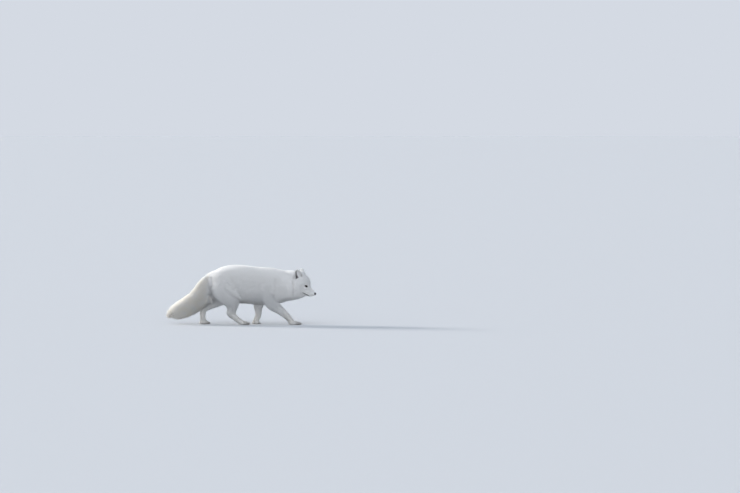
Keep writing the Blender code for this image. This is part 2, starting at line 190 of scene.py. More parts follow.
def to_head(points):
    return (np.asarray(points, float) - np.array(nose_tip)) @ head_rows.T


def turn_from_head(directions):
    return np.asarray(directions, float) @ head_rows


def unit(vectors):
    vectors = np.asarray(vectors, float)
    return vectors / np.maximum(np.linalg.norm(vectors, axis=-1, keepdims=True), 1e-12)


def rise_between(low, high, values):
    """0 below low, 1 above high, and a smooth rise between them."""
    share = np.clip((values - low) / (high - low), 0, 1)
    return share * share * (3 - 2 * share)


def hill(values, middle, width):
    """1 at middle, falling off softly to nothing about two widths away."""
    return np.exp(-(((values - middle) / width) ** 2))


print("nose tip:", [round(c, 4) for c in nose_tip])

# %% [markdown]
# ## Guides for the coat
# A groomer's guide hairs say, at a few places, which way the fur lies and how deep it is, and
# every hair between them follows a blend of the nearest. The same guides serve twice here: for
# the depth of the skin under the solids, and later for the locks. Fur lies back from the nose
# over the head, back along the neck and trunk and out along the tail, and down the legs.

# %% Guides of the head
# Place along the head, lie along the head, depth of the coat in mm. The first rows run along the
# middle of the head, and the others are for its right side and are mirrored.
HEAD_GUIDES = (
    ((0.008, 0.000, 0.003), (1.0, 0.0, 0.15), 1.5),
    ((0.030, 0.000, 0.008), (1.0, 0.0, 0.10), 2.2),
    ((0.020, 0.000, -0.032), (1.0, 0.0, -0.30), 2.2),
    ((0.045, 0.000, -0.048), (1.0, 0.0, -0.12), 4.5),
    ((0.056, 0.000, 0.020), (0.80, 0.0, 0.60), 3.0),
    ((0.075, 0.000, 0.040), (0.90, 0.0, 0.40), 6.0),
    ((0.105, 0.000, 0.046), (1.0, 0.0, 0.00), 9.0),
    ((0.140, 0.000, 0.038), (1.0, 0.0, -0.25), 13.0),
    ((0.075, 0.000, -0.060), (1.0, 0.0, -0.05), 9.0),
    ((0.110, 0.000, -0.066), (1.0, 0.0, 0.05), 15.0),
)
SIDE_GUIDES = (
    ((0.022, 0.017, -0.012), (1.0, 0.20, -0.05), 1.8),
    ((0.040, 0.024, -0.022), (1.0, 0.25, -0.15), 2.4),
    ((0.052, 0.024, -0.002), (0.9, 0.30, 0.20), 2.4),
    ((0.058, 0.034, -0.030), (1.0, 0.40, -0.30), 4.0),
    ((0.067, 0.033, 0.008), (1.0, 0.50, 0.15), 3.2),
    ((0.082, 0.050, -0.030), (0.9, 0.40, -0.35), 8.5),
    ((0.084, 0.048, 0.012), (0.95, 0.30, 0.10), 6.5),
    ((0.105, 0.062, -0.032), (0.9, 0.25, -0.40), 12.0),
    ((0.105, 0.058, 0.016), (1.0, 0.10, 0.05), 10.0),
    ((0.135, 0.058, -0.025), (1.0, 0.10, -0.25), 16.0),
)


def both_sides(rows):
    for place, lie, depth in rows:
        yield place, lie, depth
        yield (place[0], -place[1], place[2]), (lie[0], -lie[1], lie[2]), depth


# %% Guides of the trunk, tail and legs
# The trunk and neck: x, top, bottom, half width, and depth of the coat above, beside and below.
TRUNK_STATIONS = (
    (0.248, 0.293, 0.123, 0.071, 17.0, 19.0, 20.0),
    (0.200, 0.300, 0.112, 0.075, 19.0, 21.0, 23.0),
    (0.135, 0.309, 0.105, 0.079, 20.0, 22.0, 24.0),
    (0.060, 0.315, 0.108, 0.079, 20.0, 22.0, 25.0),
    (-0.015, 0.323, 0.113, 0.080, 20.0, 22.0, 25.0),
    (-0.080, 0.319, 0.124, 0.079, 20.0, 22.0, 24.0),
    (-0.135, 0.300, 0.155, 0.066, 20.0, 22.0, 22.0),
    (-0.165, 0.272, 0.200, 0.040, 22.0, 22.0, 22.0),
)
# The tail: x, z, depth of the coat.
TAIL_STATIONS = (
    (-0.150, 0.262, 22.0),
    (-0.176, 0.243, 25.0),
    (-0.196, 0.202, 29.0),
    (-0.220, 0.155, 32.0),
    (-0.256, 0.119, 33.0),
    (-0.297, 0.093, 34.0),
    (-0.338, 0.076, 33.0),
    (-0.373, 0.064, 29.0),
)
# Each leg: x, distance from the mid plane, z, depth of the coat.
LEG_STATIONS = {
    "front_right": (
        (0.150, -0.053, 0.175, 19.0), (0.162, -0.047, 0.122, 13.0), (0.199, -0.041, 0.086, 7.5),
        (0.241, -0.035, 0.050, 5.5), (0.262, -0.032, 0.026, 4.5), (0.290, -0.031, 0.014, 3.6),
        (0.316, -0.031, 0.008, 3.0),
    ),
    "front_left": (
        (0.106, 0.053, 0.172, 19.0), (0.090, 0.047, 0.118, 13.0), (0.088, 0.040, 0.080, 7.0),
        (0.0885, 0.034, 0.049, 5.0), (0.079, 0.032, 0.027, 4.3), (0.085, 0.031, 0.012, 3.6),
        (0.098, 0.031, 0.008, 3.0),
    ),
    "hind_right": (
        (-0.090, -0.049, 0.193, 19.0), (-0.059, -0.049, 0.140, 14.0), (-0.047, -0.043, 0.099, 9.0),
        (-0.0605, -0.037, 0.066, 6.5), (-0.036, -0.034, 0.041, 5.2), (-0.006, -0.033, 0.018, 4.3),
        (0.022, -0.033, 0.010, 3.6), (0.041, -0.033, 0.008, 3.0),
    ),
    "hind_left": (
        (-0.108, 0.049, 0.190, 19.0), (-0.117, 0.049, 0.148, 15.0), (-0.156, 0.043, 0.112, 9.0),
        (-0.206, 0.037, 0.083, 6.0), (-0.2125, 0.034, 0.048, 5.0), (-0.210, 0.033, 0.018, 4.3),
        (-0.196, 0.033, 0.010, 3.6), (-0.177, 0.033, 0.008, 3.0),
    ),
}


def along(places):
    """The way a path runs at each of its places."""
    return unit(np.gradient(np.asarray(places, float), axis=0))


REGIONS = ("head", "neck", "trunk", "tail", "front_right", "front_left", "hind_right", "hind_left")
NECK_FROM = 0.19


def guide_table(groups):
    """Rows of place (3), lie (3), depth in metres, and the number of the region."""
    rows = []
    if "head" in groups:
        for place, lie, depth in list(both_sides(HEAD_GUIDES)) + list(both_sides(SIDE_GUIDES)):
            rows.append([*from_head(place), *unit(turn_from_head(lie)), depth / 1000, 0])
    if "trunk" in groups:
        for x, top, bottom, half, over, beside, under in TRUNK_STATIONS:
            middle = bottom * 0.45 + top * 0.55
            region = REGIONS.index("neck" if x > NECK_FROM else "trunk")
            droop = -0.85 * rise_between(0.10, 0.165, -x)  # the fur of the rump falls on to the tail
            rows.append([x, 0, top, *unit((-1, 0, droop)), over / 1000, region])
            rows.append([x, 0, bottom, *unit((-1, 0, droop - 0.10)), under / 1000, region])
            for side in (-1, 1):
                lie = unit((-1, 0, droop - 0.22))
                rows.append([x, side * half, middle, *lie, beside / 1000, region])
    if "tail" in groups:
        places = [(x, 0, z) for x, z, depth in TAIL_STATIONS]
        for (x, z, depth), place, lie in zip(TAIL_STATIONS, places, along(places)):
            rows.append([*place, *lie, depth / 1000, REGIONS.index("tail")])
    if "legs" in groups:
        for name, stations in LEG_STATIONS.items():
            places = [row[:3] for row in stations]
            for row, lie in zip(stations, along(places)):
                rows.append([*row[:3], *lie, row[3] / 1000, REGIONS.index(name)])
    return np.array(rows)


body_guides = guide_table(("head", "trunk", "tail"))
leg_guides = guide_table(("trunk", "legs"))
print("guides:", len(body_guides), "for the body,", len(leg_guides), "for the legs")


# %% Blend of the guides
GUIDE_REACH = 0.010  # nearer than this, a guide's say hardly grows


def blend_guides(points, guides):
    """Lie, depth and region at any points: the nearer a guide, the more it says."""
    total = np.zeros((len(points), 4))
    weight_sum = np.zeros(len(points))
    best = np.zeros(len(points))
    region = np.zeros(len(points), int)
    for guide in guides:
        gap = points - guide[:3]
        weight = 1 / ((gap * gap).sum(axis=1) + GUIDE_REACH**2) ** 2
        total += weight[:, None] * guide[3:7]
        weight_sum += weight
        region[weight > best] = int(guide[7])
        best = np.maximum(best, weight)
    total /= weight_sum[:, None]
    return total[:, :3], total[:, 3], region


GUIDE_STEP = 5  # cells between two places where the depth is worked out


def depth_field(guides):
    """The depth of the coat in every cell, worked out on a coarse grid and filled in between."""
    axes = [np.arange(0, n + GUIDE_STEP, GUIDE_STEP) for n in grid_shape]
    places = np.stack(np.meshgrid(*axes, indexing="ij"), axis=-1) + grid_low
    lie, depth, region = blend_guides(places.reshape(-1, 3) * CELL, guides)
    field = depth.reshape([len(a) for a in axes]).astype(np.float32)
    for axis, count in enumerate(grid_shape):
        at = np.arange(count) / GUIDE_STEP
        low = at.astype(int)
        share = (at - low).astype(np.float32).reshape([-1 if i == axis else 1 for i in range(3)])
        field = field.take(low, axis) * (1 - share) + field.take(low + 1, axis) * share
    return field


body_skin = body_field + depth_field(body_guides)
legs_skin = legs_field + depth_field(leg_guides)
print("cells inside the skin:", int((np.minimum(body_skin, legs_skin) < 0).sum()))

# %% [markdown]
# ## The ears
# A fox's ear is one thin leaf of gristle, cupped towards the front and side and rolled closed at
# its foot. Each is drawn as a curved sheet, given a few millimetres of thickness, and melted into
# the field of the head, so that the skin runs on over it without a seam.

# %% Leaf of the ear
EAR_BASE = np.array((0.1155, 0.0455, 0.0109))  # along the head, for the right ear
EAR_TIP = np.array((0.1556, 0.0610, 0.0436))
EAR_FACING = np.array((-0.52, 0.76, 0.35))  # the way the open side looks
EAR_HALF_WIDTH = 0.0185
EAR_CUP = 0.0125  # depth of the cup at its foot
EAR_LEAF = 0.0030  # thickness of the leaf under its fur
EAR_FOOT = -0.36  # the leaf runs this share of its height down into the head
EAR_TOP = 0.95
EAR_ROUND = 0.38  # above this share of its height its end is rounded
EAR_CURL = 0.22  # how far its foot rolls closed
EAR_FILLET = 0.005
EAR_ROWS, EAR_COLUMNS = 30, 24


def ear_frame(side):
    """Foot, rise, across and facing of the ear on one side: 1 for the fox's right, -1 for its left."""
    mirror = np.array((1, side, 1))
    foot, tip = from_head([EAR_BASE * mirror, EAR_TIP * mirror])
    rise = tip - foot
    facing = turn_from_head(EAR_FACING * mirror)
    facing = unit(facing - unit(rise) * np.dot(facing, unit(rise)))
    return foot, rise, np.cross(unit(rise), facing) * side, facing


def ear_half_width(height):
    """Half the ear's width at a share of its height: nearly straight sides, then a round end."""
    share = np.clip((height - EAR_ROUND) / (EAR_TOP + 0.02 - EAR_ROUND), 0, 1)
    round_end = np.sqrt(1 - share**2.5)
    foot = 0.86 + 0.14 * np.sin(pi * np.clip(height - EAR_FOOT, 0, 1))
    return EAR_HALF_WIDTH * foot * np.maximum(round_end, 0.10)


def ear_leaf(side):
    """Closed mesh of the leaf: points, and four-cornered faces."""
    foot, rise, across, facing = ear_frame(side)
    height = np.linspace(EAR_FOOT, EAR_TOP, EAR_ROWS)[:, None]
    share = np.linspace(-1, 1, EAR_COLUMNS)[None, :]
    cup = EAR_CUP * (1 - 0.45 * np.clip(height, -0.3, 1)) * (share**2 - 1)
    curl = EAR_CURL * np.clip(height / EAR_FOOT, 0, 1) * share * EAR_HALF_WIDTH
    half = ear_half_width(height)
    sheet = (
        foot
        + height[..., None] * rise
        + (share * half - curl)[..., None] * across
        + cup[..., None] * facing
    )
    normals = unit(np.cross(np.gradient(sheet, axis=0), np.gradient(sheet, axis=1)))
    faces_out = np.sign((normals * facing).sum(axis=-1).mean())
    normals *= faces_out * EAR_LEAF / 2
    points = np.concatenate([(sheet + normals).reshape(-1, 3), (sheet - normals).reshape(-1, 3)])
    count = EAR_ROWS * EAR_COLUMNS
    index = np.arange(count).reshape(EAR_ROWS, EAR_COLUMNS)
    back = index + count
    cells_front = np.stack([index[:-1, :-1], index[:-1, 1:], index[1:, 1:], index[1:, :-1]], -1)
    cells_back = np.stack([back[:-1, :-1], back[1:, :-1], back[1:, 1:], back[:-1, 1:]], -1)
    rim = np.concatenate([index[0], index[1:, -1], index[-1, -2::-1], index[-2:0:-1, 0]])
    next_rim = np.roll(rim, -1)
    edge = np.stack([rim, rim + count, next_rim + count, next_rim], -1)
    quads = np.concatenate([cells_front.reshape(-1, 4), cells_back.reshape(-1, 4), edge])
    return points.astype(np.float32), quads.astype(np.uint32)


def beside_ear(points, side, lowest=0.0):
    """How high points are, in shares of the ear's rise, and how far they lie from its middle line."""
    foot, rise, across, facing = ear_frame(side)
    height = (points - foot) @ rise / np.dot(rise, rise)
    return height, np.linalg.norm(
        points - foot - np.clip(height, lowest, 1.1)[:, None] * rise, axis=1
    )


def melt(a, b, width):
    """The union of two fields, with a soft fillet of about that width where they meet."""
    near = np.maximum(width - np.abs(a - b), 0) / width
    return np.minimum(a, b) - near * near * width / 4


skin_field = np.minimum(body_skin, legs_skin)
for side in (1, -1):
    leaf, quads = ear_leaf(side)
    ear_field = as_array(distance_grid(leaf, quads=quads, outside=6.0, inside=3.0))
    skin_field = melt(skin_field, ear_field, EAR_FILLET)

# %% [markdown]
# ## The surface of the skin
# The field is turned into a mesh of small faces. Only the largest closed piece is kept, and faces
# of the trunk, tail and legs, which the coat hides, are thinned out. What is left is smoothed,
# least on the ears and face.

# %% Mesh of the skin
skin_grid = openvdb.FloatGrid(1.0)
skin_grid.copyFromArray(skin_field, ijk=grid_corner)
skin_grid.transform = cells
points, quads = skin_grid.convertToQuads(0.0)
print("skin before thinning:", len(points), "points,", len(quads), "faces")


def largest_piece(count, faces):
    """Which points belong to the piece with the most points."""
    label = np.arange(count)
    edges = np.concatenate([faces[:, [i, (i + 1) % faces.shape[1]]] for i in range(faces.shape[1])])
    while True:
        low = np.minimum(label[edges[:, 0]], label[edges[:, 1]])
        before = label.copy()
        np.minimum.at(label, edges[:, 0], low)
        np.minimum.at(label, edges[:, 1], low)
        label = label[label]
        if (label == before).all():
            break
    names, sizes = np.unique(label, return_counts=True)
    return label == names[sizes.argmax()]


keep = largest_piece(len(points), quads)
order = np.cumsum(keep) - 1
quads = order[quads[keep[quads[:, 0]]]]
points = points[keep]
print("largest piece:", len(points), "points")


# %% Mesh helpers
def show(name, data):
    """Puts an object made of some data in the scene."""
    obj = bpy.data.objects.new(name, data)
    bpy.context.scene.collection.objects.link(obj)
    return obj


def mesh_from(name, points, faces):
    mesh = bpy.data.meshes.new(name)
    mesh.from_pydata(points.tolist(), [], faces.tolist())
    mesh.update()
    return show(name, mesh)


def final_mesh(obj):
    """A plain mesh of what obj's modifiers make of it."""
    bpy.context.view_layer.update()
    graph = bpy.context.evaluated_depsgraph_get()
    return bpy.data.meshes.new_from_object(obj.evaluated_get(graph), depsgraph=graph)


def turn_outwards(mesh):
    """Turns the faces of a closed mesh outwards, and shades it smooth."""
    form = bmesh.new()
    form.from_mesh(mesh)
    bmesh.ops.recalc_face_normals(form, faces=form.faces)
    form.to_mesh(mesh)
    form.free()
    mesh.shade_smooth()


def closed_mesh(name, points, faces):
    mesh = bpy.data.meshes.new(name)
    mesh.from_pydata(points.tolist(), [], faces)
    turn_outwards(mesh)
    return mesh


def tube_faces(rings, spokes):
    """Faces of a tube of rings, closed by two more points: one before its first ring, one past its last."""
    index = np.arange(rings * spokes).reshape(rings, spokes)
    after = np.roll(index, -1, axis=1)
    faces = np.stack([index[:-1], index[1:], after[1:], after[:-1]], -1).reshape(-1, 4).tolist()
    before, past = rings * spokes, rings * spokes + 1
    faces += [(before, int(a), int(b)) for a, b in zip(index[0], after[0])]
    faces += [(past, int(b), int(a)) for a, b in zip(index[-1], after[-1])]
    return faces


def places_of(mesh):
    return read_all(mesh.vertices, "co", 3)


def edges_of(mesh):
    return read_all(mesh.edges, "vertices", 2, np.int32)


def normals_of(mesh):
    return read_all(mesh.vertex_normals, "vector", 3)


def move_to(mesh, co):
    mesh.vertices.foreach_set("co", co.ravel())
    mesh.update()


# %% Smoothing helpers
def neighbour_mean(values, pairs):
    """The mean of each point's neighbours."""
    count = np.bincount(pairs.ravel(), minlength=len(values))
    total = np.empty_like(values)
    for i in range(values.shape[1]):
        total[:, i] = np.bincount(pairs[:, 0], values[pairs[:, 1], i], len(values))
        total[:, i] += np.bincount(pairs[:, 1], values[pairs[:, 0], i], len(values))
    return total / np.maximum(count, 1)[:, None]


def smooth(co, pairs, amount, rounds):
    """Evens out the surface without shrinking it: each step in is followed by one back out."""
    for _ in range(rounds):
        for factor in (0.5, -0.52):
            co = co + (neighbour_mean(co, pairs) - co) * (factor * amount)[:, None]
    return co


def spread_out(values, rounds):
    """One value for each point of the skin, evened out over its neighbours again and again."""
    pairs = edges_of(skin.data)
    for _ in range(rounds):
        values = neighbour_mean(values[:, None], pairs)[:, 0]
    return values


def face_share(points):
    """1 on the face, and 0 from behind the cheeks back."""
    local = to_head(points)
    return (1 - rise_between(0.100, 0.130, local[:, 0])) * rise_between(-0.085, -0.070, local[:, 2])


# %% Thinning
THINNED = 0.42  # share of the faces that stays
FINE_LEVELS = 8

skin = mesh_from("skin", points, quads)
co = places_of(skin.data)
near_ear = np.zeros(len(co))
for side in (1, -1):
    height, gap = beside_ear(co, side, -0.2)
    near_ear = np.maximum(near_ear, 1 - rise_between(0.026, 0.034, gap))
on_paw = 1 - rise_between(0.022, 0.032, co[:, 2])
fine = np.maximum(np.maximum(face_share(co), near_ear), on_paw)
group = skin.vertex_groups.new(name="fine")
for level in range(1, FINE_LEVELS + 1):
    chosen = np.flatnonzero(np.round(fine * FINE_LEVELS) == level)
    group.add(chosen.tolist(), level / FINE_LEVELS, "REPLACE")
thin = skin.modifiers.new("Thin", "DECIMATE")
thin.ratio = THINNED
thin.vertex_group = "fine"
thin.invert_vertex_group = True
thin.vertex_group_factor = 10.0
thinned = final_mesh(skin)
skin.modifiers.clear()
full_mesh = skin.data
skin.data = thinned
bpy.data.meshes.remove(full_mesh)
thinned.name = "skin"
skin.vertex_groups.clear()
print("skin after thinning:", len(skin.data.vertices), "points,", len(skin.data.polygons), "faces")

# %% [markdown]
# ## Eyelids, lips and the finer face
# The lids are a fold of skin that hugs the eyeball, with a bare black edge, and the lips meet in a
# dark groove that runs back along the muzzle. A sculptor would push them in with a small tool.
# Here the skin's faces are first made finer round the eyes and mouth, and each point is then
# moved by its place beside the eye's opening or the line of the lips.

# %% Where the eyes and lips are
BALL_RADIUS = 0.0083
BALL_SUNK = 0.0006  # the ball sits this far behind the middle of its solid
EYE_LOOK = np.array((-0.52, 0.85, 0.08))
EYE_TILT = radians(10.0)
OPENING_HALF = 0.0076  # half the length of the gap between the lids
OPENING_UP, OPENING_DOWN = 0.0046, 0.0038
LID_CURVE = 0.9  # under 1, the corners of the gap are blunter than a parabola's
EYE_ROOM = 0.022  # nothing farther than this from an eye belongs to its lids
LIP_CORNER = (0.059, -0.0362)  # behind the nose tip, and under its bridge
LIP_SLOPE = radians(11.0)
LIP_WAVE = 0.0009


def eye_frame(side):
    """Middle of the ball, and its axes: back along the opening, up across it, and out."""
    mirror = np.array((1, side, 1))
    look = unit(turn_from_head(EYE_LOOK * mirror))
    back = turn_from_head(np.array((cos(EYE_TILT), 0, -sin(EYE_TILT))))
    back = unit(back - look * np.dot(back, look))
    up = np.cross(look, back) * -side
    up = up * np.sign(np.dot(up, turn_from_head((0, 0, 1))))
    middle = np.array(middle_of("eye_right" if side > 0 else "eye_left"))
    return middle - look * BALL_SUNK, np.stack([back, up, look])


def lens_outline(steps=60):
    """The gap between the lids as a closed line: pointed at both ends, higher above than below."""
    a = np.linspace(-1, 1, steps)
    bulge = (1 - a * a) ** LID_CURVE
    above = np.stack([a * OPENING_HALF, OPENING_UP * bulge], -1)
    below = np.stack([a * OPENING_HALF, -OPENING_DOWN * bulge], -1)
    return np.concatenate([above, below[-2:0:-1]])


def beside_eye(points, side):
    """Places in an eye's own frame, how far each lies outside the lids' gap, and where it is nearest."""
    middle, axes = eye_frame(side)
    local = (points - middle) @ axes.T
    outline = lens_outline()
    outside = np.full(len(points), 1.0)
    nearest = local[:, :2].copy()
    close = np.flatnonzero((np.abs(local) < EYE_ROOM).all(axis=1))
    gaps = np.linalg.norm(local[close, None, :2] - outline[None], axis=2)
    pick = gaps.argmin(axis=1)
    a, b = local[close, 0], local[close, 1]
    tall = np.where(b > 0, OPENING_UP, OPENING_DOWN)
    inside = np.abs(b) < tall * np.maximum(1 - (a / OPENING_HALF) ** 2, 0) ** LID_CURVE
    outside[close] = gaps.min(axis=1) * np.where(inside, -1, 1)
    nearest[close] = outline[pick]
    return local, outside, nearest


def lip_line(points):
    """How far each point lies above the line of the lips, and how much of a lip there is."""
    local = to_head(points)
    line = LIP_CORNER[1] + (LIP_CORNER[0] - local[:, 0]) * np.tan(LIP_SLOPE)
    line += LIP_WAVE * np.sin((local[:, 0] - 0.012) / 0.014)
    there = rise_between(0.002, 0.007, local[:, 0])
    there *= 1 - rise_between(LIP_CORNER[0] - 0.004, LIP_CORNER[0] + 0.002, local[:, 0])
    there *= local[:, 0] < 0.1
    return local[:, 2] - line, there


# %% Smoothing
SMOOTHING_ROUNDS = 14

pairs = edges_of(skin.data)
co = places_of(skin.data)
ear_gap = np.full(len(co), 1.0)
for side in (1, -1):
    height, gap = beside_ear(co, side, 0.1)
    ear_gap = np.minimum(ear_gap, gap)
even = 1 - 0.55 * face_share(co)
even = np.minimum(even, 0.45 + 0.5 * rise_between(0.022, 0.034, ear_gap))
move_to(skin.data, smooth(co, pairs, even, SMOOTHING_ROUNDS))
print("points held back by the face and ears:", int((even < 0.9).sum()))


# %% Finer faces round the eyes and lips
EYE_REACHES = (0.015, 0.0125)  # the edges this near to an eye's middle are halved, once for each
LIP_REACH = 0.005
NOSE_REACH = 0.012


def refine(obj, chosen):
    """Halves the edges whose two ends are both chosen."""
    mesh = bmesh.new()
    mesh.from_mesh(obj.data)
    mesh.verts.ensure_lookup_table()
    edges = [e for e in mesh.edges if chosen[e.verts[0].index] and chosen[e.verts[1].index]]
    bmesh.ops.subdivide_edges(mesh, edges=edges, cuts=1, use_grid_fill=True)
    bmesh.ops.triangulate(mesh, faces=[f for f in mesh.faces if len(f.verts) > 4])
    mesh.to_mesh(obj.data)
    mesh.free()


for turn, reach in enumerate(EYE_REACHES):
    co = places_of(skin.data)
    chosen = np.zeros(len(co), bool)
    for side in (1, -1):
        local, outside, nearest = beside_eye(co, side)
        chosen |= (np.linalg.norm(local[:, :2], axis=1) < reach) & (local[:, 2] > 0)
    if turn == 0:
        height, there = lip_line(co)
        chosen |= (np.abs(height) < LIP_REACH) & (there > 0)
        chosen |= (to_head(co)[:, 0] < NOSE_REACH) & (face_share(co) > 0.5)
    refine(skin, chosen)
print("skin with finer eyes and lips:", len(skin.data.polygons), "faces")

# %% Pushing in the lids and lips
LID = 0.0008  # thickness of the lids
FOLD_PLACE = 0.0034  # the fold over the upper lid lies this far from its edge
FOLD_DEPTH = 0.0008
UNDER_BALL = 0.0016  # inside the gap the skin passes this far under the surface of the ball
LIP_DEPTH = 0.0015
LIP_ROLL = 0.0006  # the upper lip stands out this far over the groove
BALL_SHOULDER = 0.80  # past this share of the ball's radius, the lids run straight on down
SNAP = 0.00045  # points this near to the edge of the gap are moved on to it


def lid_height(across):
    """Height of the lids over the middle of the ball: round over it, then straight down."""
    shoulder = BALL_SHOULDER * BALL_RADIUS
    round_part = np.sqrt(BALL_RADIUS**2 - np.minimum(across, shoulder) ** 2)
    return round_part - 0.85 * np.maximum(across - shoulder, 0)


co = places_of(skin.data)
pairs = edges_of(skin.data)
for side in (1, -1):
    middle, axes = eye_frame(side)
    local, outside, nearest = beside_eye(co, side)
    near = (local[:, 2] > -0.005) & (outside < 0.012)
    snapped = near & (np.abs(outside) < SNAP)
    local[snapped, :2] = nearest[snapped]
    outside[snapped] = 0.0
    ball = lid_height(np.linalg.norm(local[:, :2], axis=1))
    edge = LID * (0.6 + 0.6 * rise_between(0, 0.0011, outside) + 0.3 * (local[:, 1] > 0))
    lid = ball + edge
    crease = FOLD_DEPTH * hill(outside, FOLD_PLACE, 0.0008) * (local[:, 1] > 0)
    free = np.maximum(local[:, 2], lid) + 0.0012 * hill(local[:, 2], lid, 0.0015)
    free_share = rise_between(0.0012, 0.0050, outside)
    cover = lid * (1 - free_share) + free * free_share - crease
    settle = rise_between(0.0085, 0.0115, outside)
    cover = cover * (1 - settle) + local[:, 2] * settle
    height = np.where(outside < -0.0001, ball - UNDER_BALL, cover)
    local[near, 2] = height[near]
    lidded = co.copy()
    lidded[near] = middle + local[near] @ axes
    soft = np.where(near & (outside > 0.0012), 0.8, 0.0)
    co = smooth(lidded, pairs, soft, 6)
height, there = lip_line(co)
normals = normals_of(skin.data)
groove = LIP_DEPTH * hill(height, 0, 0.0008)
overhang = LIP_ROLL * hill(height, 0.0022, 0.0014)
sideways = rise_between(0.2, 0.6, np.abs(normals @ head_rows[1]) + np.abs(normals @ head_rows[0]))
co += normals * ((overhang - groove) * there * sideways)[:, None]
move_to(skin.data, co)
skin.data.shade_smooth()

# %% [markdown]
# ## A bed for the nose, and the toes
# The nose pad sits in the blunt end of the muzzle, and short fur shows four toes on each paw as
# ridges with hollows between them. Both could be carved. Here the skin under the pad shrinks
# towards the pad's middle, and each paw's skin sinks along three lines that run back from its tip.

# %% Hollow under the nose pad
NOSE_PAD = np.array((0.0074, 0.0086, 0.0066))  # half length, half width and half height
NOSE_BED = 0.55  # the skin under the pad sinks to this share of its size


def beside_nose(points):
    """Places beside the nose pad, in shares of its size: 1 is its surface."""
    return (to_head(points) - np.array(NOSE_PLACE)) / NOSE_PAD


co = places_of(skin.data)
share = beside_nose(co)
size = np.linalg.norm(share, axis=1)
front = (1 - rise_between(-0.1, 0.6, share[:, 0])) * (size < 1.2)
factor = 1 + (np.minimum(NOSE_BED / np.maximum(size, 1e-6), 1) - 1) * front
co = from_head(np.array(NOSE_PLACE) + share * factor[:, None] * NOSE_PAD)
move_to(skin.data, co)

# %% Toes
TOE_GROOVE = 0.0021  # depth of the hollow between two toes
TOE_GROOVE_WIDTH = 0.0021
TOE_REACH = 0.026  # the toes are parted this far back from their tips


def toe_pitch(paw):
    """Middle of a paw, its foremost x, and the distance from one toe to the next."""
    low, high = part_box(paw)
    return (low.y + high.y) / 2, high.x, (high.y - low.y) * 0.245


co = places_of(skin.data)
normals = normals_of(skin.data)
for paw in PAW_NODES:
    middle, foremost, pitch = toe_pitch(paw)
    across = (co[:, 1] - middle) / pitch
    to_groove = np.abs(across - np.clip(np.round(across), -1, 1)) * pitch
    ahead = rise_between(foremost - TOE_REACH, foremost - 0.45 * TOE_REACH, co[:, 0])
    here = ahead * (co[:, 0] < foremost + 0.01) * (np.abs(across) < 2.3)
    here = here * (1 - rise_between(0.026, 0.034, co[:, 2]))
    co -= normals * (TOE_GROOVE * here * hill(to_groove, 0, TOE_GROOVE_WIDTH))[:, None]
move_to(skin.data, co)

# %% [markdown]
# ## What the coat does at every point of the skin
# Each point of the skin is told which way its fur lies, how deep and how wide its locks are and
# how close they stand. A groomer would comb and trim by hand. The skin keeps these as attributes
# instead, so that the locks that grow on it read them, and a change of one value trims them all.

# %% Beside the ears
# Across the cup of the ear, -1 is its rear edge and 1 its front one. The fur grows over the cup
# from the front, and leaves a slit behind it, which is wider at the foot of the ear. The skin in
# the slit is painted near black as the shadow of the cup.
SLIT_EDGE = -0.20
SLIT_SPREAD = 0.42
EAR_DEPTH_OF_COAT = 0.0026


def ear_share(points):
    """How far a point is on an ear, in its cup, and in the cup's slit, where the skin is painted with the
    cup's shadow; and the lie there.
    """
    share = np.zeros(len(points))
    inside = np.zeros(len(points))
    slit = np.zeros(len(points))
    lies = np.zeros((len(points), 3))
    normals = normals_of(skin.data)
    for side in (1, -1):
        foot, rise, across, facing = ear_frame(side)
        height, gap = beside_ear(points, side)
        mine = (1 - rise_between(0.021, 0.027, gap)) * rise_between(-0.12, 0.06, height)
        mine = mine * (1 - rise_between(0.004, 0.009, (points - foot) @ facing))
        chosen = mine > share
        share[chosen] = mine[chosen]
        in_cup = rise_between(0.05, 0.35, normals @ facing) * mine
        inside[chosen] = in_cup[chosen]
        forward = across * np.sign(np.dot(across, -head_rows[0]))
        ahead = (points - foot) @ forward / EAR_HALF_WIDTH
        edge = SLIT_EDGE + SLIT_SPREAD * (1 - np.clip(height, 0, 1)) ** 2
        slit[chosen] = (in_cup * (1 - rise_between(edge - 0.10, edge + 0.15, ahead)))[chosen]
        lies[chosen] = unit(unit(rise) - (0.9 * in_cup)[:, None] * forward)[chosen]
    return share, inside, slit, lies


co = places_of(skin.data)
normals = normals_of(skin.data)
on_ear, in_ear, slit, ear_lie = ear_share(co)
print("points on the ears:", int((on_ear > 0.5).sum()), "in the slits:", int((slit > 0.5).sum()))


# %% Attribute helpers
def distance_to_line(points, line):
    """From flat points to a line through a few places."""
    best = np.full(len(points), 1.0)
    for start, end in zip(line[:-1], line[1:]):
        start, step = np.array(start), np.array(end) - np.array(start)
        share = np.clip((points - start) @ step / (step @ step), 0, 1)
        best = np.minimum(best, np.linalg.norm(points - start - share[:, None] * step, axis=1))
    return best


def field_at(field, points):
    cell = np.round(points / CELL).astype(int) - grid_low
    cell = np.clip(cell, 0, np.array(grid_shape) - 1)
    return field[cell[:, 0], cell[:, 1], cell[:, 2]]


def keep_attribute(mesh, name, values):
    kind = "FLOAT_VECTOR" if np.ndim(values) == 2 else "FLOAT"
    attribute = mesh.attributes.get(name) or mesh.attributes.new(name, kind, "POINT")
    field = "vector" if kind == "FLOAT_VECTOR" else "value"
    attribute.data.foreach_set(field, np.asarray(values, np.float32).ravel())


# %% Lie and depth of the fur
SKIN_PULL = np.array((0, 0, -0.12))  # all fur hangs a little
BREECHES_LIE = np.array((-0.3, 0, -1.2))

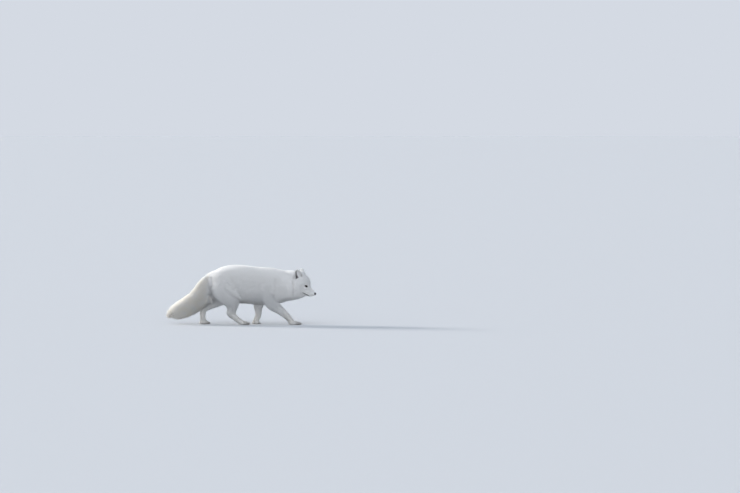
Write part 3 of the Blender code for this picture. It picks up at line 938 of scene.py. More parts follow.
on_leg = rise_between(-0.002, 0.002, field_at(body_skin, co) - field_at(legs_skin, co))
body_lie, body_depth, body_region = blend_guides(co, body_guides)
leg_lie, leg_depth, leg_region = blend_guides(co, leg_guides)
lie = body_lie * (1 - on_leg)[:, None] + leg_lie * on_leg[:, None]
depth = body_depth * (1 - on_leg) + leg_depth * on_leg
region = np.where(on_leg > 0.5, leg_region, body_region)

lie = unit(lie) * (1 - on_ear)[:, None] + ear_lie * on_ear[:, None]
depth = depth * (1 - on_ear) + (EAR_DEPTH_OF_COAT + 0.0006 * in_ear) * on_ear
# Under the root of the tail the long fur of the rump and thighs hangs down like breeches.
furnished = [REGIONS.index(name) for name in ("trunk", "hind_right", "hind_left")]
hanging = rise_between(0.118, 0.148, -co[:, 0]) * (1 - rise_between(0.200, 0.228, co[:, 2]))
hanging *= rise_between(0.128, 0.145, co[:, 2]) * np.isin(region, furnished) * (1 - on_ear)
lie = unit(lie) + hanging[:, None] * BREECHES_LIE
lie += SKIN_PULL
lie -= normals * (lie * normals).sum(axis=1)[:, None]
lie = unit(lie)
for number, name in enumerate(REGIONS):
    print("  points of", name, int((region == number).sum()))

# %% Bare lids, lips and nose
TEAR_LINE = ((-0.0076, 0.0), (-0.0093, -0.0008), (-0.0108, -0.0020))  # ahead of the inner corner
LID_FUR = 0.0009  # depth of the coat beside the lids
LIP_MIDDLE = -0.0007  # the dark of the lips lies mostly under their line

bare = np.zeros(len(co))  # 1 where the skin has no fur
rim = np.zeros(len(co))  # 1 on the dark edge of the lids and lips
for side in (1, -1):
    local, outside, nearest = beside_eye(co, side)
    near_ball = local[:, 2] > -0.004
    ring = (1 - rise_between(0.0017, 0.0026, outside)) * near_ball
    tear = distance_to_line(local[:, :2], TEAR_LINE)
    ring = np.maximum(ring, (1 - rise_between(0.0007, 0.0013, tear)) * near_ball)
    rim = np.maximum(rim, ring)
    bare = np.maximum(bare, ring)
    back, up, look = eye_frame(side)[1]
    away = unit(local[:, :2] - nearest) * np.sign(outside)[:, None]
    away = away[:, :1] * back + away[:, 1:] * up
    swirl = 0.45 * (1 - rise_between(0.003, 0.012, outside)) * near_ball
    lie = unit(lie * (1 - swirl)[:, None] + away * swirl[:, None])
    closeness = (1 - rise_between(0.001, 0.012, outside)) * near_ball
    depth = depth * (1 - closeness) + LID_FUR * closeness
height, there = lip_line(co)
off_lips = np.abs(height - LIP_MIDDLE)
rim = np.maximum(rim, (1 - rise_between(0.0018, 0.0028, off_lips)) * there)
bare = np.maximum(bare, (1 - rise_between(0.0014, 0.0023, off_lips)) * there)
depth = depth * (1 - 0.55 * there * (1 - rise_between(0.001, 0.006, np.abs(height))))
on_nose = 1 - rise_between(1.02, 1.12, np.linalg.norm(beside_nose(co), axis=1))
bare = np.maximum(bare, on_nose)
rim = np.maximum(rim, on_nose)
print("depth of the coat: %.1f to %.1f mm" % (1000 * depth.min(), 1000 * depth.max()))

# %% [markdown]
# ## One lock of fur
# A lock is a few dozen hairs that hold together: it leaves the skin steeply, bends over and ends
# in a point that lies along the body. Drawn hair by hair the coat would be far too heavy, so each
# lock is one slim closed blade with a ridge, in three slightly different bends. It is one unit long
# and one unit high, so that it can be stretched to the depth of the coat wherever it grows.

# %% Locks
LOCK_RING = 0.45  # how far along the lock its one ring of corners stands
LOCK_RING_WIDTH = 0.95
LOCK_RIDGE = 0.030
RING_CORNERS = ((-0.5, -0.3), (0.5, -0.3), (0.0, 1.0))  # across, in widths, and up, in ridges
PATCH = 0.003  # size of a lock's patch on the unwrap
LOCK_BENDS = (-0.35, 0.0, 0.38)  # how far each variant's tip swings aside, in widths


def lock(name, swing):
    """A closed blade: a root point, a ring of three corners, and a tip."""
    def middle(share):
        return np.array((share, swing * share**2, np.sin(share * pi / 2) ** 0.85))

    ring = [
        middle(LOCK_RING) + np.array((0, y * LOCK_RING_WIDTH, z * LOCK_RIDGE)) for y, z in RING_CORNERS
    ]
    faces = []
    for j, k in ((0, 1), (1, 2), (2, 0)):
        faces += [(0, 1 + k, 1 + j), (1 + j, 1 + k, 4)]
    mesh = closed_mesh(name, np.array([middle(0), *ring, middle(1)]), faces)
    along_lock = np.array((0.0, LOCK_RING, LOCK_RING, LOCK_RING, 1.0))
    keep_attribute(mesh, "along_lock", along_lock)
    patch = np.stack([along_lock - 0.5, (0.0, -0.5, 0.5, 0.0, 0.0), np.zeros(5)], -1) * PATCH
    keep_attribute(mesh, "patch", patch)
    return bpy.data.objects.new(name, mesh)


locks = [lock("lock_%d" % i, swing) for i, swing in enumerate(LOCK_BENDS)]
print("faces of a lock:", len(locks[0].data.polygons))

# %% [markdown]
# ## The tree that grows the coat
# Geometry Nodes scatter roots over a stretch of skin, as close as its attributes say, and set a
# lock on each, turned to the lie of the fur. Soft noise sways the lie over a few centimetres, so
# that neighbours fall together in tresses. The last nodes make the locks real, and give each of
# them a small patch on the unwrap of the skin, at the place of its root. Hair curves would do
# the same, but a shared part has to be plain mesh.


# %% Node helpers
def plug(tree, sockets, values):
    """Links each value that is a socket, and sets each that isn't."""
    for socket, value in zip(sockets, values):
        if isinstance(value, bpy.types.NodeSocket):
            tree.links.new(value, socket)
        else:
            socket.default_value = value


def in_use(sockets):
    return [s for s in sockets if s.enabled]


def fill(tree, made, **inputs):
    """Sets inputs by name. Underscores stand for spaces, and a last digit picks one of a name."""
    for name, value in inputs.items():
        name = name.replace("_", " ")
        found = [s for s in in_use(made.inputs) if s.name == name]
        index = 0
        if not found:
            found = [s for s in in_use(made.inputs) if s.name == name[:-1]]
            index = int(name[-1])
        plug(tree, [found[index]], [value])


def node(tree, kind, settings=(), **inputs):
    made = tree.nodes.new(kind)
    for name, value in settings:
        setattr(made, name, value)
    fill(tree, made, **inputs)
    return made


def reads(tree, name, kind="FLOAT"):
    """Socket of a named attribute."""
    return node(tree, "GeometryNodeInputNamedAttribute", [("data_type", kind)], Name=name).outputs[0]


def vector_math(tree, operation, *values):
    made = node(tree, "ShaderNodeVectorMath", [("operation", operation)])
    plug(tree, in_use(made.inputs), values)
    return made.outputs["Value" if operation in ("DOT_PRODUCT", "LENGTH") else "Vector"]


def scalar_math(tree, operation, *values):
    made = node(tree, "ShaderNodeMath", [("operation", operation)])
    plug(tree, made.inputs, values)
    return made.outputs[0]


def random_number(tree, low, high, seed, kind="FLOAT"):
    made = node(tree, "FunctionNodeRandomValue", [("data_type", kind)], Seed=seed)
    plug(tree, in_use(made.inputs), (low, high))
    return in_use(made.outputs)[0]


def new_tree(name, inputs):
    """A tree for a modifier, and its inputs' sockets. inputs are rows of name, kind and value."""
    tree = bpy.data.node_groups.new(name, "GeometryNodeTree")
    for way in ("INPUT", "OUTPUT"):
        tree.interface.new_socket("Geometry", in_out=way, socket_type="NodeSocketGeometry")
    for label, kind, value in inputs:
        socket = tree.interface.new_socket(label, in_out="INPUT", socket_type="NodeSocket" + kind)
        if value is not None:
            socket.default_value = value
    return tree, tree.nodes.new("NodeGroupInput").outputs


def end_tree(tree, geometry, material):
    done = node(tree, "GeometryNodeSetMaterial", Geometry=geometry, Material=material)
    tree.links.new(done.outputs[0], tree.nodes.new("NodeGroupOutput").inputs[0])


# %% Parts of the coat's tree
FLOOR_FUR = 0.0016  # fur lower than this is pressed against the floor


def lie_of_locks(tree, given, normal):
    """The skin's own lie, swayed by soft noise and scattered by chance, and kept along the skin."""
    noise = node(tree, "ShaderNodeTexNoise", [("noise_dimensions", "3D")], Scale=42.0, Detail=1.5,
                 Vector=node(tree, "GeometryNodeInputPosition").outputs[0])
    sway = vector_math(tree, "SUBTRACT", noise.outputs["Color"], (0.5, 0.5, 0.5))
    sway = vector_math(tree, "SCALE", sway, scalar_math(tree, "MULTIPLY", given["Sway"], 3.0))
    spread = random_number(tree, (-1, -1, -1), (1, 1, 1), 11, "FLOAT_VECTOR")
    spread = vector_math(tree, "SCALE", spread, given["Scatter"])
    lie = vector_math(tree, "ADD", reads(tree, "lie", "FLOAT_VECTOR"), sway)
    lie = vector_math(tree, "ADD", lie, spread)
    upright = vector_math(tree, "SCALE", normal, vector_math(tree, "DOT_PRODUCT", lie, normal))
    return vector_math(tree, "SUBTRACT", lie, upright)


def press_to_floor(tree, geometry):
    """Lays fur that would reach under the floor down just above it."""
    place = node(tree, "GeometryNodeInputPosition").outputs[0]
    parts = node(tree, "ShaderNodeSeparateXYZ", Vector=place).outputs
    low = scalar_math(tree, "SUBTRACT", parts["Z"], FLOOR_FUR)
    height = scalar_math(tree, "EXPONENT", scalar_math(tree, "DIVIDE", low, FLOOR_FUR))
    height = scalar_math(tree, "MULTIPLY", height, FLOOR_FUR)
    pressed = node(tree, "ShaderNodeCombineXYZ", X=parts["X"], Y=parts["Y"], Z=height).outputs[0]
    return node(tree, "GeometryNodeSetPosition", Geometry=geometry, Position=pressed,
                Selection=scalar_math(tree, "LESS_THAN", low, 0.0)).outputs[0]


# %% Tree of the coat
def coat_tree():
    tree, given = new_tree("grow_coat", (
        ("Share", "Float", 1.0), ("Seed", "Int", 1), ("Piece", "Int", 0),
        ("Sway", "Float", 0.32), ("Scatter", "Float", 0.16), ("Material", "Material", None),
    ))
    mine = node(tree, "FunctionNodeCompare", [("data_type", "INT"), ("operation", "EQUAL")],
                A=reads(tree, "piece", "INT"), B=given["Piece"]).outputs[0]
    roots = node(
        tree, "GeometryNodeDistributePointsOnFaces", [("distribute_method", "RANDOM")],
        Mesh=given["Geometry"], Selection=mine, Seed=given["Seed"],
        Density=scalar_math(tree, "MULTIPLY", reads(tree, "density"), given["Share"]),
    )
    normal = roots.outputs["Normal"]
    lean = random_number(tree, (-0.22, -0.22, -0.22), (0.22, 0.22, 0.22), 12, "FLOAT_VECTOR")
    turn = node(
        tree, "FunctionNodeAxesToRotation", [("primary_axis", "X"), ("secondary_axis", "Z")],
        Primary_Axis=lie_of_locks(tree, given, normal),
        Secondary_Axis=vector_math(tree, "ADD", normal, lean),
    ).outputs[0]
    sizes = [
        scalar_math(tree, "MULTIPLY", reads(tree, name), random_number(tree, low, high, seed))
        for name, low, high, seed in
        (("run", 0.72, 1.12, 13), ("width", 0.6, 1.3, 14), ("rise", 0.78, 1.05, 15))
    ]
    stretch = node(tree, "ShaderNodeCombineXYZ", X=sizes[0], Y=sizes[1], Z=sizes[2]).outputs[0]

    kept = roots.outputs["Points"]
    for name, kind, value in (
        ("tone", "FLOAT", random_number(tree, 0.0, 1.0, 16)),
        ("root_normal", "FLOAT_VECTOR", normal),
    ):
        kept = node(tree, "GeometryNodeStoreNamedAttribute",
                    [("data_type", kind), ("domain", "POINT")],
                    Geometry=kept, Name=name, Value=value).outputs[0]
    variants = node(tree, "GeometryNodeJoinGeometry")
    for one in reversed(locks):
        shown = node(tree, "GeometryNodeObjectInfo", Object=one, As_Instance=True)
        tree.links.new(shown.outputs["Geometry"], variants.inputs[0])
    grown = node(
        tree, "GeometryNodeInstanceOnPoints",
        Points=kept, Instance=variants.outputs[0], Pick_Instance=True,
        Instance_Index=random_number(tree, 0, len(LOCK_BENDS) - 1, 17, "INT"),
        Rotation=turn, Scale=stretch,
    ).outputs[0]
    real = node(tree, "GeometryNodeRealizeInstances", Geometry=grown).outputs[0]
    real = press_to_floor(tree, real)
    patch = vector_math(tree, "ADD", reads(tree, "patch", "FLOAT_VECTOR"),
                        reads(tree, "unwrap", "FLOAT_VECTOR"))
    real = node(tree, "GeometryNodeStoreNamedAttribute",
                [("data_type", "FLOAT2"), ("domain", "CORNER")],
                Geometry=real, Name="OFBake", Value=patch).outputs[0]
    end_tree(tree, real, given["Material"])
    return tree


grow_coat = coat_tree()
print("nodes in the coat's tree:", len(grow_coat.nodes))

# %% [markdown]
# ## Pieces of the coat, and their unwrap
# The coat is parted into stretches, as a furrier cuts pelts, so that no mesh is too heavy. For each
# of them the skin is laid flat: it is taken as a tube round its own longest axis, opened along
# one line. That gives every lock its place on a flat map of the skin.

# %% Creases
# Places where the coat parts, on both sides: x and z of points along each, and how deep it is.
# Locks there are a little shorter and lower, and their colour is darkened with painted shade.
CREASES = (
    (((0.275, 0.284), (0.276, 0.228), (0.272, 0.165)), 0.85),  # behind the cheeks' ruff
    (((0.176, 0.242), (0.167, 0.196), (0.167, 0.150)), 0.6),  # behind the shoulder
    (((-0.062, 0.250), (-0.036, 0.205), (-0.010, 0.150)), 0.6),  # ahead of the thigh
    (((-0.146, 0.270), (-0.162, 0.213), (-0.154, 0.152)), 0.8),  # between rump and tail
)
CREASE_WIDTH = 0.0042


def crease_at(points):
    """How deep a crease is at any points, from 0 to 1."""
    total = np.zeros(len(points))
    flat = points[:, [0, 2]]
    for line, strength in CREASES:
        gap = distance_to_line(flat, line)
        total = np.maximum(total, strength * hill(gap, 0, CREASE_WIDTH))
    return total * rise_between(0.030, 0.045, np.abs(points[:, 1]))


# %% Pieces
PIECES = (
    "head_right", "head_left", "ears", "neck", "trunk_front_right", "trunk_front_left",
    "trunk_rear_right", "trunk_rear_left", "tail", "front_right", "front_left",
    "hind_right", "hind_left",
)
REAR = 0.020  # the trunk's coat is parted into front and rear here

corner_vertex = read_all(skin.data.loops, "vertex_index", kind=np.int32)
face_start = read_all(skin.data.polygons, "loop_start", kind=np.int32)
face_size = read_all(skin.data.polygons, "loop_total", kind=np.int32)
face_area = read_all(skin.data.polygons, "area")
face_vertex = corner_vertex[face_start]
face_of_corner = np.repeat(np.arange(len(face_start)), face_size)

face_region = region[face_vertex]
is_left = co[face_vertex, 1] > np.where(face_region == 0, nose_tip.y * 0.4, 0.0)
is_rear = co[face_vertex, 0] < REAR
piece = np.zeros(len(face_start), np.int32)
for number, name in enumerate(REGIONS):
    mine = face_region == number
    if name == "head":
        piece[mine] = PIECES.index("head_right") + is_left[mine]
    elif name == "trunk":
        piece[mine] = PIECES.index("trunk_front_right") + is_left[mine] + 2 * is_rear[mine]
    else:
        piece[mine] = PIECES.index(name)
piece[on_ear[face_vertex] > 0.35] = PIECES.index("ears")
print("faces of skin under each piece:", np.bincount(piece).tolist())

# %% Size and number of the locks
TAIL_COARSE, LEG_COARSE = 0.84, 1.22  # locks of the tail are finer, and those of the legs coarser
TIP_REACH = 0.92  # how far along its run a lock's tip ends, on the whole
LONGER_RUMP, LONGER_BREECHES = 0.25, 0.55
TIP_ROUNDS = 3

# Short fur lies flatter than long fur, so it runs farther for its depth. Longer locks are wider
# and stand farther apart. None grow on bare skin, few in the slit of an ear, and more in its cup.
depth_mm = 1000 * depth
run = depth * (1.75 + 1.3 * np.exp(-depth_mm / 4))
coarse = np.ones(len(co))
coarse[region == REGIONS.index("tail")] = TAIL_COARSE
coarse[region > REGIONS.index("tail")] = LEG_COARSE
coarse = spread_out(coarse, 20)
width = (0.00054 + 0.000032 * depth_mm) * coarse
spacing = (0.00084 + 0.000017 * depth_mm) * coarse
density = (1 - bare) * (1 - 0.96 * slit) * (1 + 0.5 * in_ear) / spacing**2
at_root, at_tip = crease_at(co), crease_at(co + lie * run[:, None] * TIP_REACH)
run *= 1 - 0.12 * at_tip
on_rump = rise_between(0.115, 0.150, -co[:, 0]) * (region == REGIONS.index("trunk"))
run *= 1 + np.maximum(LONGER_RUMP * on_rump, LONGER_BREECHES * hanging)

# A lock that runs out over a hollow or past a bulge would end off the surface of the solids. Its
# tip is looked up in their field, and its height is corrected until it ends there.
full = 0.97 * depth
rise = full.copy()
long_fur = rise_between(0.003, 0.006, depth) * (1 - rise_between(0.0, 0.3, on_ear))
for _ in range(TIP_ROUNDS):
    tips = co + lie * run[:, None] * TIP_REACH + normals * rise[:, None]
    over = np.minimum(field_at(body_field, tips), field_at(legs_field, tips))
    rise = np.clip(rise - 0.8 * over * long_fur, (0.30 + 0.90 * hanging) * full, 1.35 * full)
rise *= 1 - 0.22 * np.maximum(at_root, at_tip)
print("tips beyond the solids: %.1f mm at most" % (1000 * np.quantile(over * long_fur, 0.99)))

# %% Painted shade of creases and of the toes next to the floor
TOE_UNDERSIDE_SHADE = (2.1, 0.8, 2.2, 1.8)  # how much painted shade each paw's toes get next to the floor; a deep crease is 1

shade = at_tip.copy()
# Painted shade: the toes grow darker towards the floor, where shade falls under them.
for paw, underside_shade in zip(PAW_NODES, TOE_UNDERSIDE_SHADE):
    middle, foremost, pitch = toe_pitch(paw)
    toes = rise_between(foremost - 0.050, foremost - 0.018, co[:, 0]) * (co[:, 0] < foremost + 0.01)
    toes = toes * (np.abs(co[:, 1] - middle) < 2.3 * pitch)
    shade = np.maximum(shade, underside_shade * toes * (1 - rise_between(0.006, 0.021, co[:, 2])))
print("points that are shaded:", int((shade > 0.1).sum()))

# %% Unwrap
unwrap = np.zeros((len(corner_vertex), 3))
expected = {}
for number, name in enumerate(PIECES):
    faces = piece == number
    corners = faces[face_of_corner]
    expected[name] = float((face_area[faces] * density[face_vertex[faces]]).sum())
    places = co[corner_vertex[corners]]
    centre = places.mean(axis=0)
    axes = np.linalg.svd(places[::7] - centre, full_matrices=False)[2]
    local = (places - centre) @ axes.T
    angle = np.arctan2(local[:, 2], local[:, 1])
    owner = face_of_corner[corners]
    first = np.searchsorted(owner, owner)
    angle = angle[first] + (angle - angle[first] + pi) % (2 * pi) - pi
    length = np.ptp(local[:, 0])
    unwrap[corners, 0] = 0.03 + 0.94 * (local[:, 0] - local[:, 0].min()) / length
    unwrap[corners, 1] = np.clip(0.5 + 0.94 * angle / (2 * pi), 0.01, 0.99)
    print("  %-18s %6d locks wished for" % (name, expected[name]))
print("locks wished for in all:", round(sum(expected.values())))

# %% [markdown]
# ## Colours
# The winter coat is white all over, a little creamy on the tail, the legs and the belly, with a few
# dark hairs near the tip of the tail. The cream is partly the coat's own tint and partly painted
# glow of light through backlit fur. Painted shade greys the locks at their roots, in the creases
# and on the toes next to the floor. The skin under the coat carries the same tones, and shows only
# at the dark edges of the lids and lips and in the cup of the ears, where its near black is
# painted shadow.

# %% Markings, and painted glow
DARK_HAIRS = np.array((-0.334, -0.020, 0.080))  # roots of the few dark hairs near the tail's tip
DARK_REACH = np.array((0.009, 0.014, 0.005))
DARK_SHARE = 0.72
# The cream is partly the coat's own tint and partly painted glow: warm light through backlit fur.
TAIL_CREAM_AND_GLOW, LEG_CREAM_AND_GLOW, BELLY_CREAM_AND_GLOW = 0.85, 0.55, 0.35

low_leg = (region >= REGIONS.index("front_right")) & (co[:, 2] < 0.13)
cream_and_glow = np.zeros(len(co))
cream_and_glow += TAIL_CREAM_AND_GLOW * (region == REGIONS.index("tail"))
cream_and_glow += LEG_CREAM_AND_GLOW * low_leg * rise_between(0.02, 0.13, 0.15 - co[:, 2])
cream_and_glow += BELLY_CREAM_AND_GLOW * (1 - rise_between(0.12, 0.18, co[:, 2])) * (region == REGIONS.index("trunk"))
cream_and_glow = spread_out(cream_and_glow, 40)
dark = DARK_SHARE * np.exp(-(((co - DARK_HAIRS) / DARK_REACH) ** 2).sum(axis=1))
print("cream up to %.2f, dark hairs up to %.2f" % (cream_and_glow.max(), dark.max()))

# %% Attributes of the skin
# The attribute crease carries the painted shade of the creases and of the toes next to the floor.
for name, values in (
    ("lie", lie), ("depth", depth), ("bare", bare), ("rim", rim), ("slit", slit),
    ("crease", shade), ("run", run), ("width", width), ("rise", rise), ("density", density),
    ("cream_and_glow", cream_and_glow), ("dark", dark),
):
    keep_attribute(skin.data, name, values)
skin.data.attributes.new("piece", "INT", "FACE").data.foreach_set("value", piece)
skin.data.attributes.new("unwrap", "FLOAT_VECTOR", "CORNER").data.foreach_set(
    "vector", unwrap.astype(np.float32).ravel()
)
print("attributes:", ", ".join(sorted(a.name for a in skin.data.attributes if a.name[0] != ".")))


# %% Material helpers
def new_material(name):
    material = bpy.data.materials.new(name)
    material.use_nodes = True
    return material, material.node_tree, material.node_tree.nodes["Principled BSDF"]


def attribute(tree, name, output="Fac"):
    return node(tree, "ShaderNodeAttribute", [("attribute_name", name)]).outputs[output]


def colour_mix(tree, share, a, b):
    made = node(tree, "ShaderNodeMix", [("data_type", "RGBA")])
    plug(tree, in_use(made.inputs), (share, a, b))
    return in_use(made.outputs)[0]


def object_noise(tree, scale, detail=2.0):
    place = node(tree, "ShaderNodeTexCoord").outputs["Object"]
    return node(tree, "ShaderNodeTexNoise", Vector=place, Scale=scale, Detail=detail).outputs["Fac"]


def rise_nodes(tree, value, low, high):
    """0 where a value is at low, 1 where it is at high, and a smooth rise between them."""
    return node(tree, "ShaderNodeMapRange", [("interpolation_type", "SMOOTHSTEP")],
                Value=value, From_Min=low, From_Max=high).outputs["Result"]


def bump(tree, height, strength, distance, invert=False):
    return node(tree, "ShaderNodeBump", [("invert", invert)],
                Height=height, Strength=strength, Distance=distance).outputs[0]


SNOW_WHITE = (0.97, 0.97, 0.965, 1)
# Cream: partly the coat's own tint, partly painted warm glow of light through the fur.
CREAM_WHITE = (0.97, 0.92, 0.82, 1)
# Painted shade: the grey that the locks take towards their roots, deep in the coat.
ROOT_SHADE_GREY = (0.88, 0.87, 0.855, 1)
LOCK_GREY = (0.80, 0.79, 0.78, 1)
GUARD_BROWN = (0.12, 0.085, 0.06, 1)
# Painted shade: the grey that darkens the creases and the toes next to the floor.
PAINTED_SHADE_GREY = (0.42, 0.40, 0.38, 1)


def marked_white(tree):
    """The white of the coat with its markings and its cream, which is partly painted glow, for the locks
    and for the skin under them.
    """
    share = scalar_math(tree, "MULTIPLY", attribute(tree, "cream_and_glow"), object_noise(tree, 26.0))
    return colour_mix(tree, scalar_math(tree, "MULTIPLY", share, 1.7), SNOW_WHITE, CREAM_WHITE)


# %% Material of the locks
# Light goes through fur, so a share of each lock is translucent. Its shading leans towards the
# normal of the skin under its root, as that of a whole coat does.
GLOW_SHARE = 0.15

coat_material, tree, shader = new_material("winter_coat")
along_lock, tone = attribute(tree, "along_lock"), attribute(tree, "tone")
# Painted shade: each lock is greyer towards its root, where the coat is deep.
fur = colour_mix(tree, scalar_math(tree, "POWER", along_lock, 0.6), ROOT_SHADE_GREY, marked_white(tree))
fur = colour_mix(tree, scalar_math(tree, "MULTIPLY", tone, 0.10), fur, LOCK_GREY)
# Painted shade: the crease attribute greys the locks in the creases and on the toes next to the floor.
painted_shade_share = scalar_math(tree, "MULTIPLY", attribute(tree, "crease"), 0.42)
fur = colour_mix(tree, painted_shade_share, fur, PAINTED_SHADE_GREY)
hairs = scalar_math(tree, "MULTIPLY", attribute(tree, "dark"), 1.3)
hairs = scalar_math(tree, "GREATER_THAN", scalar_math(tree, "SUBTRACT", hairs, tone), 0.0)
hairs = scalar_math(tree, "MULTIPLY", hairs, scalar_math(tree, "GREATER_THAN", along_lock, 0.35))
fur = colour_mix(tree, scalar_math(tree, "MULTIPLY", hairs, 0.85), fur, GUARD_BROWN)
soft = vector_math(tree, "SCALE", attribute(tree, "root_normal", "Vector"), 0.9)
soft = vector_math(tree, "ADD", node(tree, "ShaderNodeNewGeometry").outputs["Normal"], soft)
fill(tree, shader, Base_Color=fur, Normal=vector_math(tree, "NORMALIZE", soft), Roughness=0.75,
     Specular_IOR_Level=0.25, Sheen_Weight=0.35, Sheen_Roughness=0.45)
glow = node(tree, "ShaderNodeBsdfTranslucent", Color=fur)
both = node(tree, "ShaderNodeMixShader")
plug(tree, both.inputs, (GLOW_SHARE, shader.outputs[0], glow.outputs[0]))
fill(tree, tree.nodes["Material Output"], Surface=both.outputs[0])

# %% Material of the skin
SKIN_PINK = (0.72, 0.62, 0.58, 1)
# Painted shadow: the skin in the ear's slit is near black, for the shade deep in the cup.
CUP_SHADOW_DARK, CUP_SHADOW_LIGHT = (0.030, 0.022, 0.022, 1), (0.070, 0.052, 0.050, 1)
RIM_BLACK = (0.018, 0.014, 0.014, 1)

skin_material, tree, shader = new_material("skin_under_coat")
under = colour_mix(tree, 0.25, marked_white(tree), SKIN_PINK)
cup = colour_mix(tree, object_noise(tree, 160.0), CUP_SHADOW_DARK, CUP_SHADOW_LIGHT)
under = colour_mix(tree, attribute(tree, "slit"), under, cup)
under = colour_mix(tree, attribute(tree, "rim"), under, RIM_BLACK)
fill(tree, shader, Base_Color=under, Roughness=0.55,
     Normal=bump(tree, object_noise(tree, 900.0, 3.0), 0.25, 0.0004))
skin.data.materials.append(skin_material)

# %% [markdown]
# ## Growing the coat
# Each piece runs the same tree over the skin. Its result is turned into a plain mesh and the
# modifier goes, so that what is kept is only the locks themselves.


# %% Coat pieces
CROWDED = 196000  # most faces in one piece: past it the roots are thinned out
FIRST_SEED = 20  # each piece scatters its roots by a seed of its own
COAT_ATTRIBUTES = {"along_lock", "tone", "root_normal", "cream_and_glow", "dark", "crease", "OFBake"}


def piece_from_tree(name, holder, tree, settings, kept):
    """A plain piece of what a tree makes of holder, with the attributes in kept alone."""
    modifier = holder.modifiers.new("Tree", "NODES")
    modifier.node_group = tree
    identifiers = {i.name: i.identifier for i in tree.interface.items_tree if i.in_out == "INPUT"}
    for label, value in settings.items():
        modifier[identifiers[label]] = value
    mesh = final_mesh(holder)
    bpy.data.objects.remove(holder)
    mesh.name = name
    mesh.materials.clear()
    mesh.materials.append(settings["Material"])
    for spare in [a.name for a in mesh.attributes]:
        found = mesh.attributes[spare]
        if spare not in kept and not found.is_required and not found.is_internal:
            mesh.attributes.remove(found)
    return show(name, mesh)


def grow(number, name):
    faces = len(locks[0].data.polygons)
    settings = {
        "Share": min(1.0, CROWDED / faces / max(expected[name], 1.0)),
        "Seed": FIRST_SEED + number, "Piece": number, "Material": coat_material,
    }
    grower = show("grower", skin.data)
    coat = piece_from_tree("coat_" + name, grower, grow_coat, settings, COAT_ATTRIBUTES)
    count = len(coat.data.polygons)
    print("  %-22s %6d locks, %6d faces" % (coat.name, count // faces, count))
    return coat


coats = [grow(number, name) for number, name in enumerate(PIECES)]
print("faces of the coat:", sum(len(c.data.polygons) for c in coats))

# %% Fasten them to the frame
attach(skin, "root")
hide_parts(*(n for n in frame["nodes"] if n not in ("nose", "eye_right", "eye_left", "tail")))
for coat in coats:
    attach(coat, "root")
    if coat.name == "coat_tail":
        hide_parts("tail")

# %% [markdown]
# ## The eyes
# The eye is a ball with a clear, slightly bulging window in front of a dark brown iris, always
# wet. Glass eyes for museum models are made just so. Here one ball carries the iris and pupil as a
# pattern on its own coordinates, under the clear coat of its shader, which gives the wet gleam.

# %% Eyeballs
IRIS_SHARE = 0.74  # radius of the iris, in radii of the ball
IRIS_DARK, IRIS_LIGHT = (0.006, 0.003, 0.0015, 1), (0.026, 0.012, 0.005, 1)
IRIS_RIM = (0.010, 0.007, 0.006, 1)
PUPIL_BLACK = (0.002, 0.002, 0.002, 1)
WINDOW_BULGE = 0.0006  # how far the clear window of the eye stands out
EYE_RINGS, EYE_SPOKES = 39, 64


def eyeball(side):
    name = "eyeball_right" if side > 0 else "eyeball_left"
    middle, axes = eye_frame(side)
    angle = np.linspace(0, pi, EYE_RINGS + 2)[1:-1]
    radius = BALL_RADIUS + WINDOW_BULGE * np.exp(-((angle / 0.62) ** 4))
    turn = np.linspace(0, 2 * pi, EYE_SPOKES, endpoint=False)
    rings = np.stack(np.broadcast_arrays(
        (radius * np.sin(angle))[:, None] * np.cos(turn),
        (radius * np.sin(angle))[:, None] * np.sin(turn),
        (radius * np.cos(angle))[:, None],
    ), -1).reshape(-1, 3)
    local = np.concatenate([rings, ((0, 0, BALL_RADIUS + WINDOW_BULGE), (0, 0, -BALL_RADIUS))])
    mesh = closed_mesh(name, middle + local @ axes, tube_faces(EYE_RINGS, EYE_SPOKES))
    keep_attribute(mesh, "eye_place", local / BALL_RADIUS)
    mesh.materials.append(eye_material)
    ball = show(name, mesh)
    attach(ball, "root")
    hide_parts("eye_right" if side > 0 else "eye_left")
    return ball


eye_material, tree, shader = new_material("wet_eye")
flat = vector_math(tree, "MULTIPLY", attribute(tree, "eye_place", "Vector"), (1, 1, 0))
spoke = vector_math(tree, "SCALE", vector_math(tree, "NORMALIZE", flat), 7.0)
streaks = node(tree, "ShaderNodeTexNoise", Vector=spoke, Scale=2.2, Detail=3.0).outputs["Fac"]
iris = colour_mix(tree, streaks, IRIS_DARK, IRIS_LIGHT)
edge = rise_nodes(tree, vector_math(tree, "LENGTH", flat), IRIS_SHARE - 0.16, IRIS_SHARE)
iris = colour_mix(tree, edge, iris, IRIS_RIM)
narrow = vector_math(tree, "LENGTH", vector_math(tree, "MULTIPLY", flat, (1.55, 0.85, 0)))
iris = colour_mix(tree, rise_nodes(tree, narrow, 0.40, 0.34), iris, PUPIL_BLACK)
fill(tree, shader, Base_Color=iris, Roughness=0.30, Specular_IOR_Level=0.0,
     Coat_Weight=0.7, Coat_Roughness=0.03, Coat_IOR=1.33)
eyeballs = [eyeball(side) for side in (1, -1)]
print("eyeballs:", [b.name for b in eyeballs], "faces each:", len(eyeballs[0].data.polygons))

# %% [markdown]
# ## The nose
# The nose pad is bare black leather with a fine pebbled grain, two nostrils like commas that run
# out into a slit, and a groove down its middle. It could be sculpted; it is small enough to shape
# by rule: a ball is drawn to the size of the pad, and each point sinks by its distance to those lines.

# %% Nose pad
NOSTRIL = ((0.0023, -0.0006), (0.0041, 0.0002), (0.0064, -0.0014))  # across and up, from the middle
NOSTRIL_WIDTH = 0.00085
NOSTRIL_DEPTH = 0.0026
NOSTRIL_RIM = 0.0004
NOSE_SINK = 0.0001  # the pad is this much smaller than its solid all round
LEATHER_DARK, LEATHER_LIGHT = (0.010, 0.009, 0.010, 1), (0.030, 0.026, 0.026, 1)


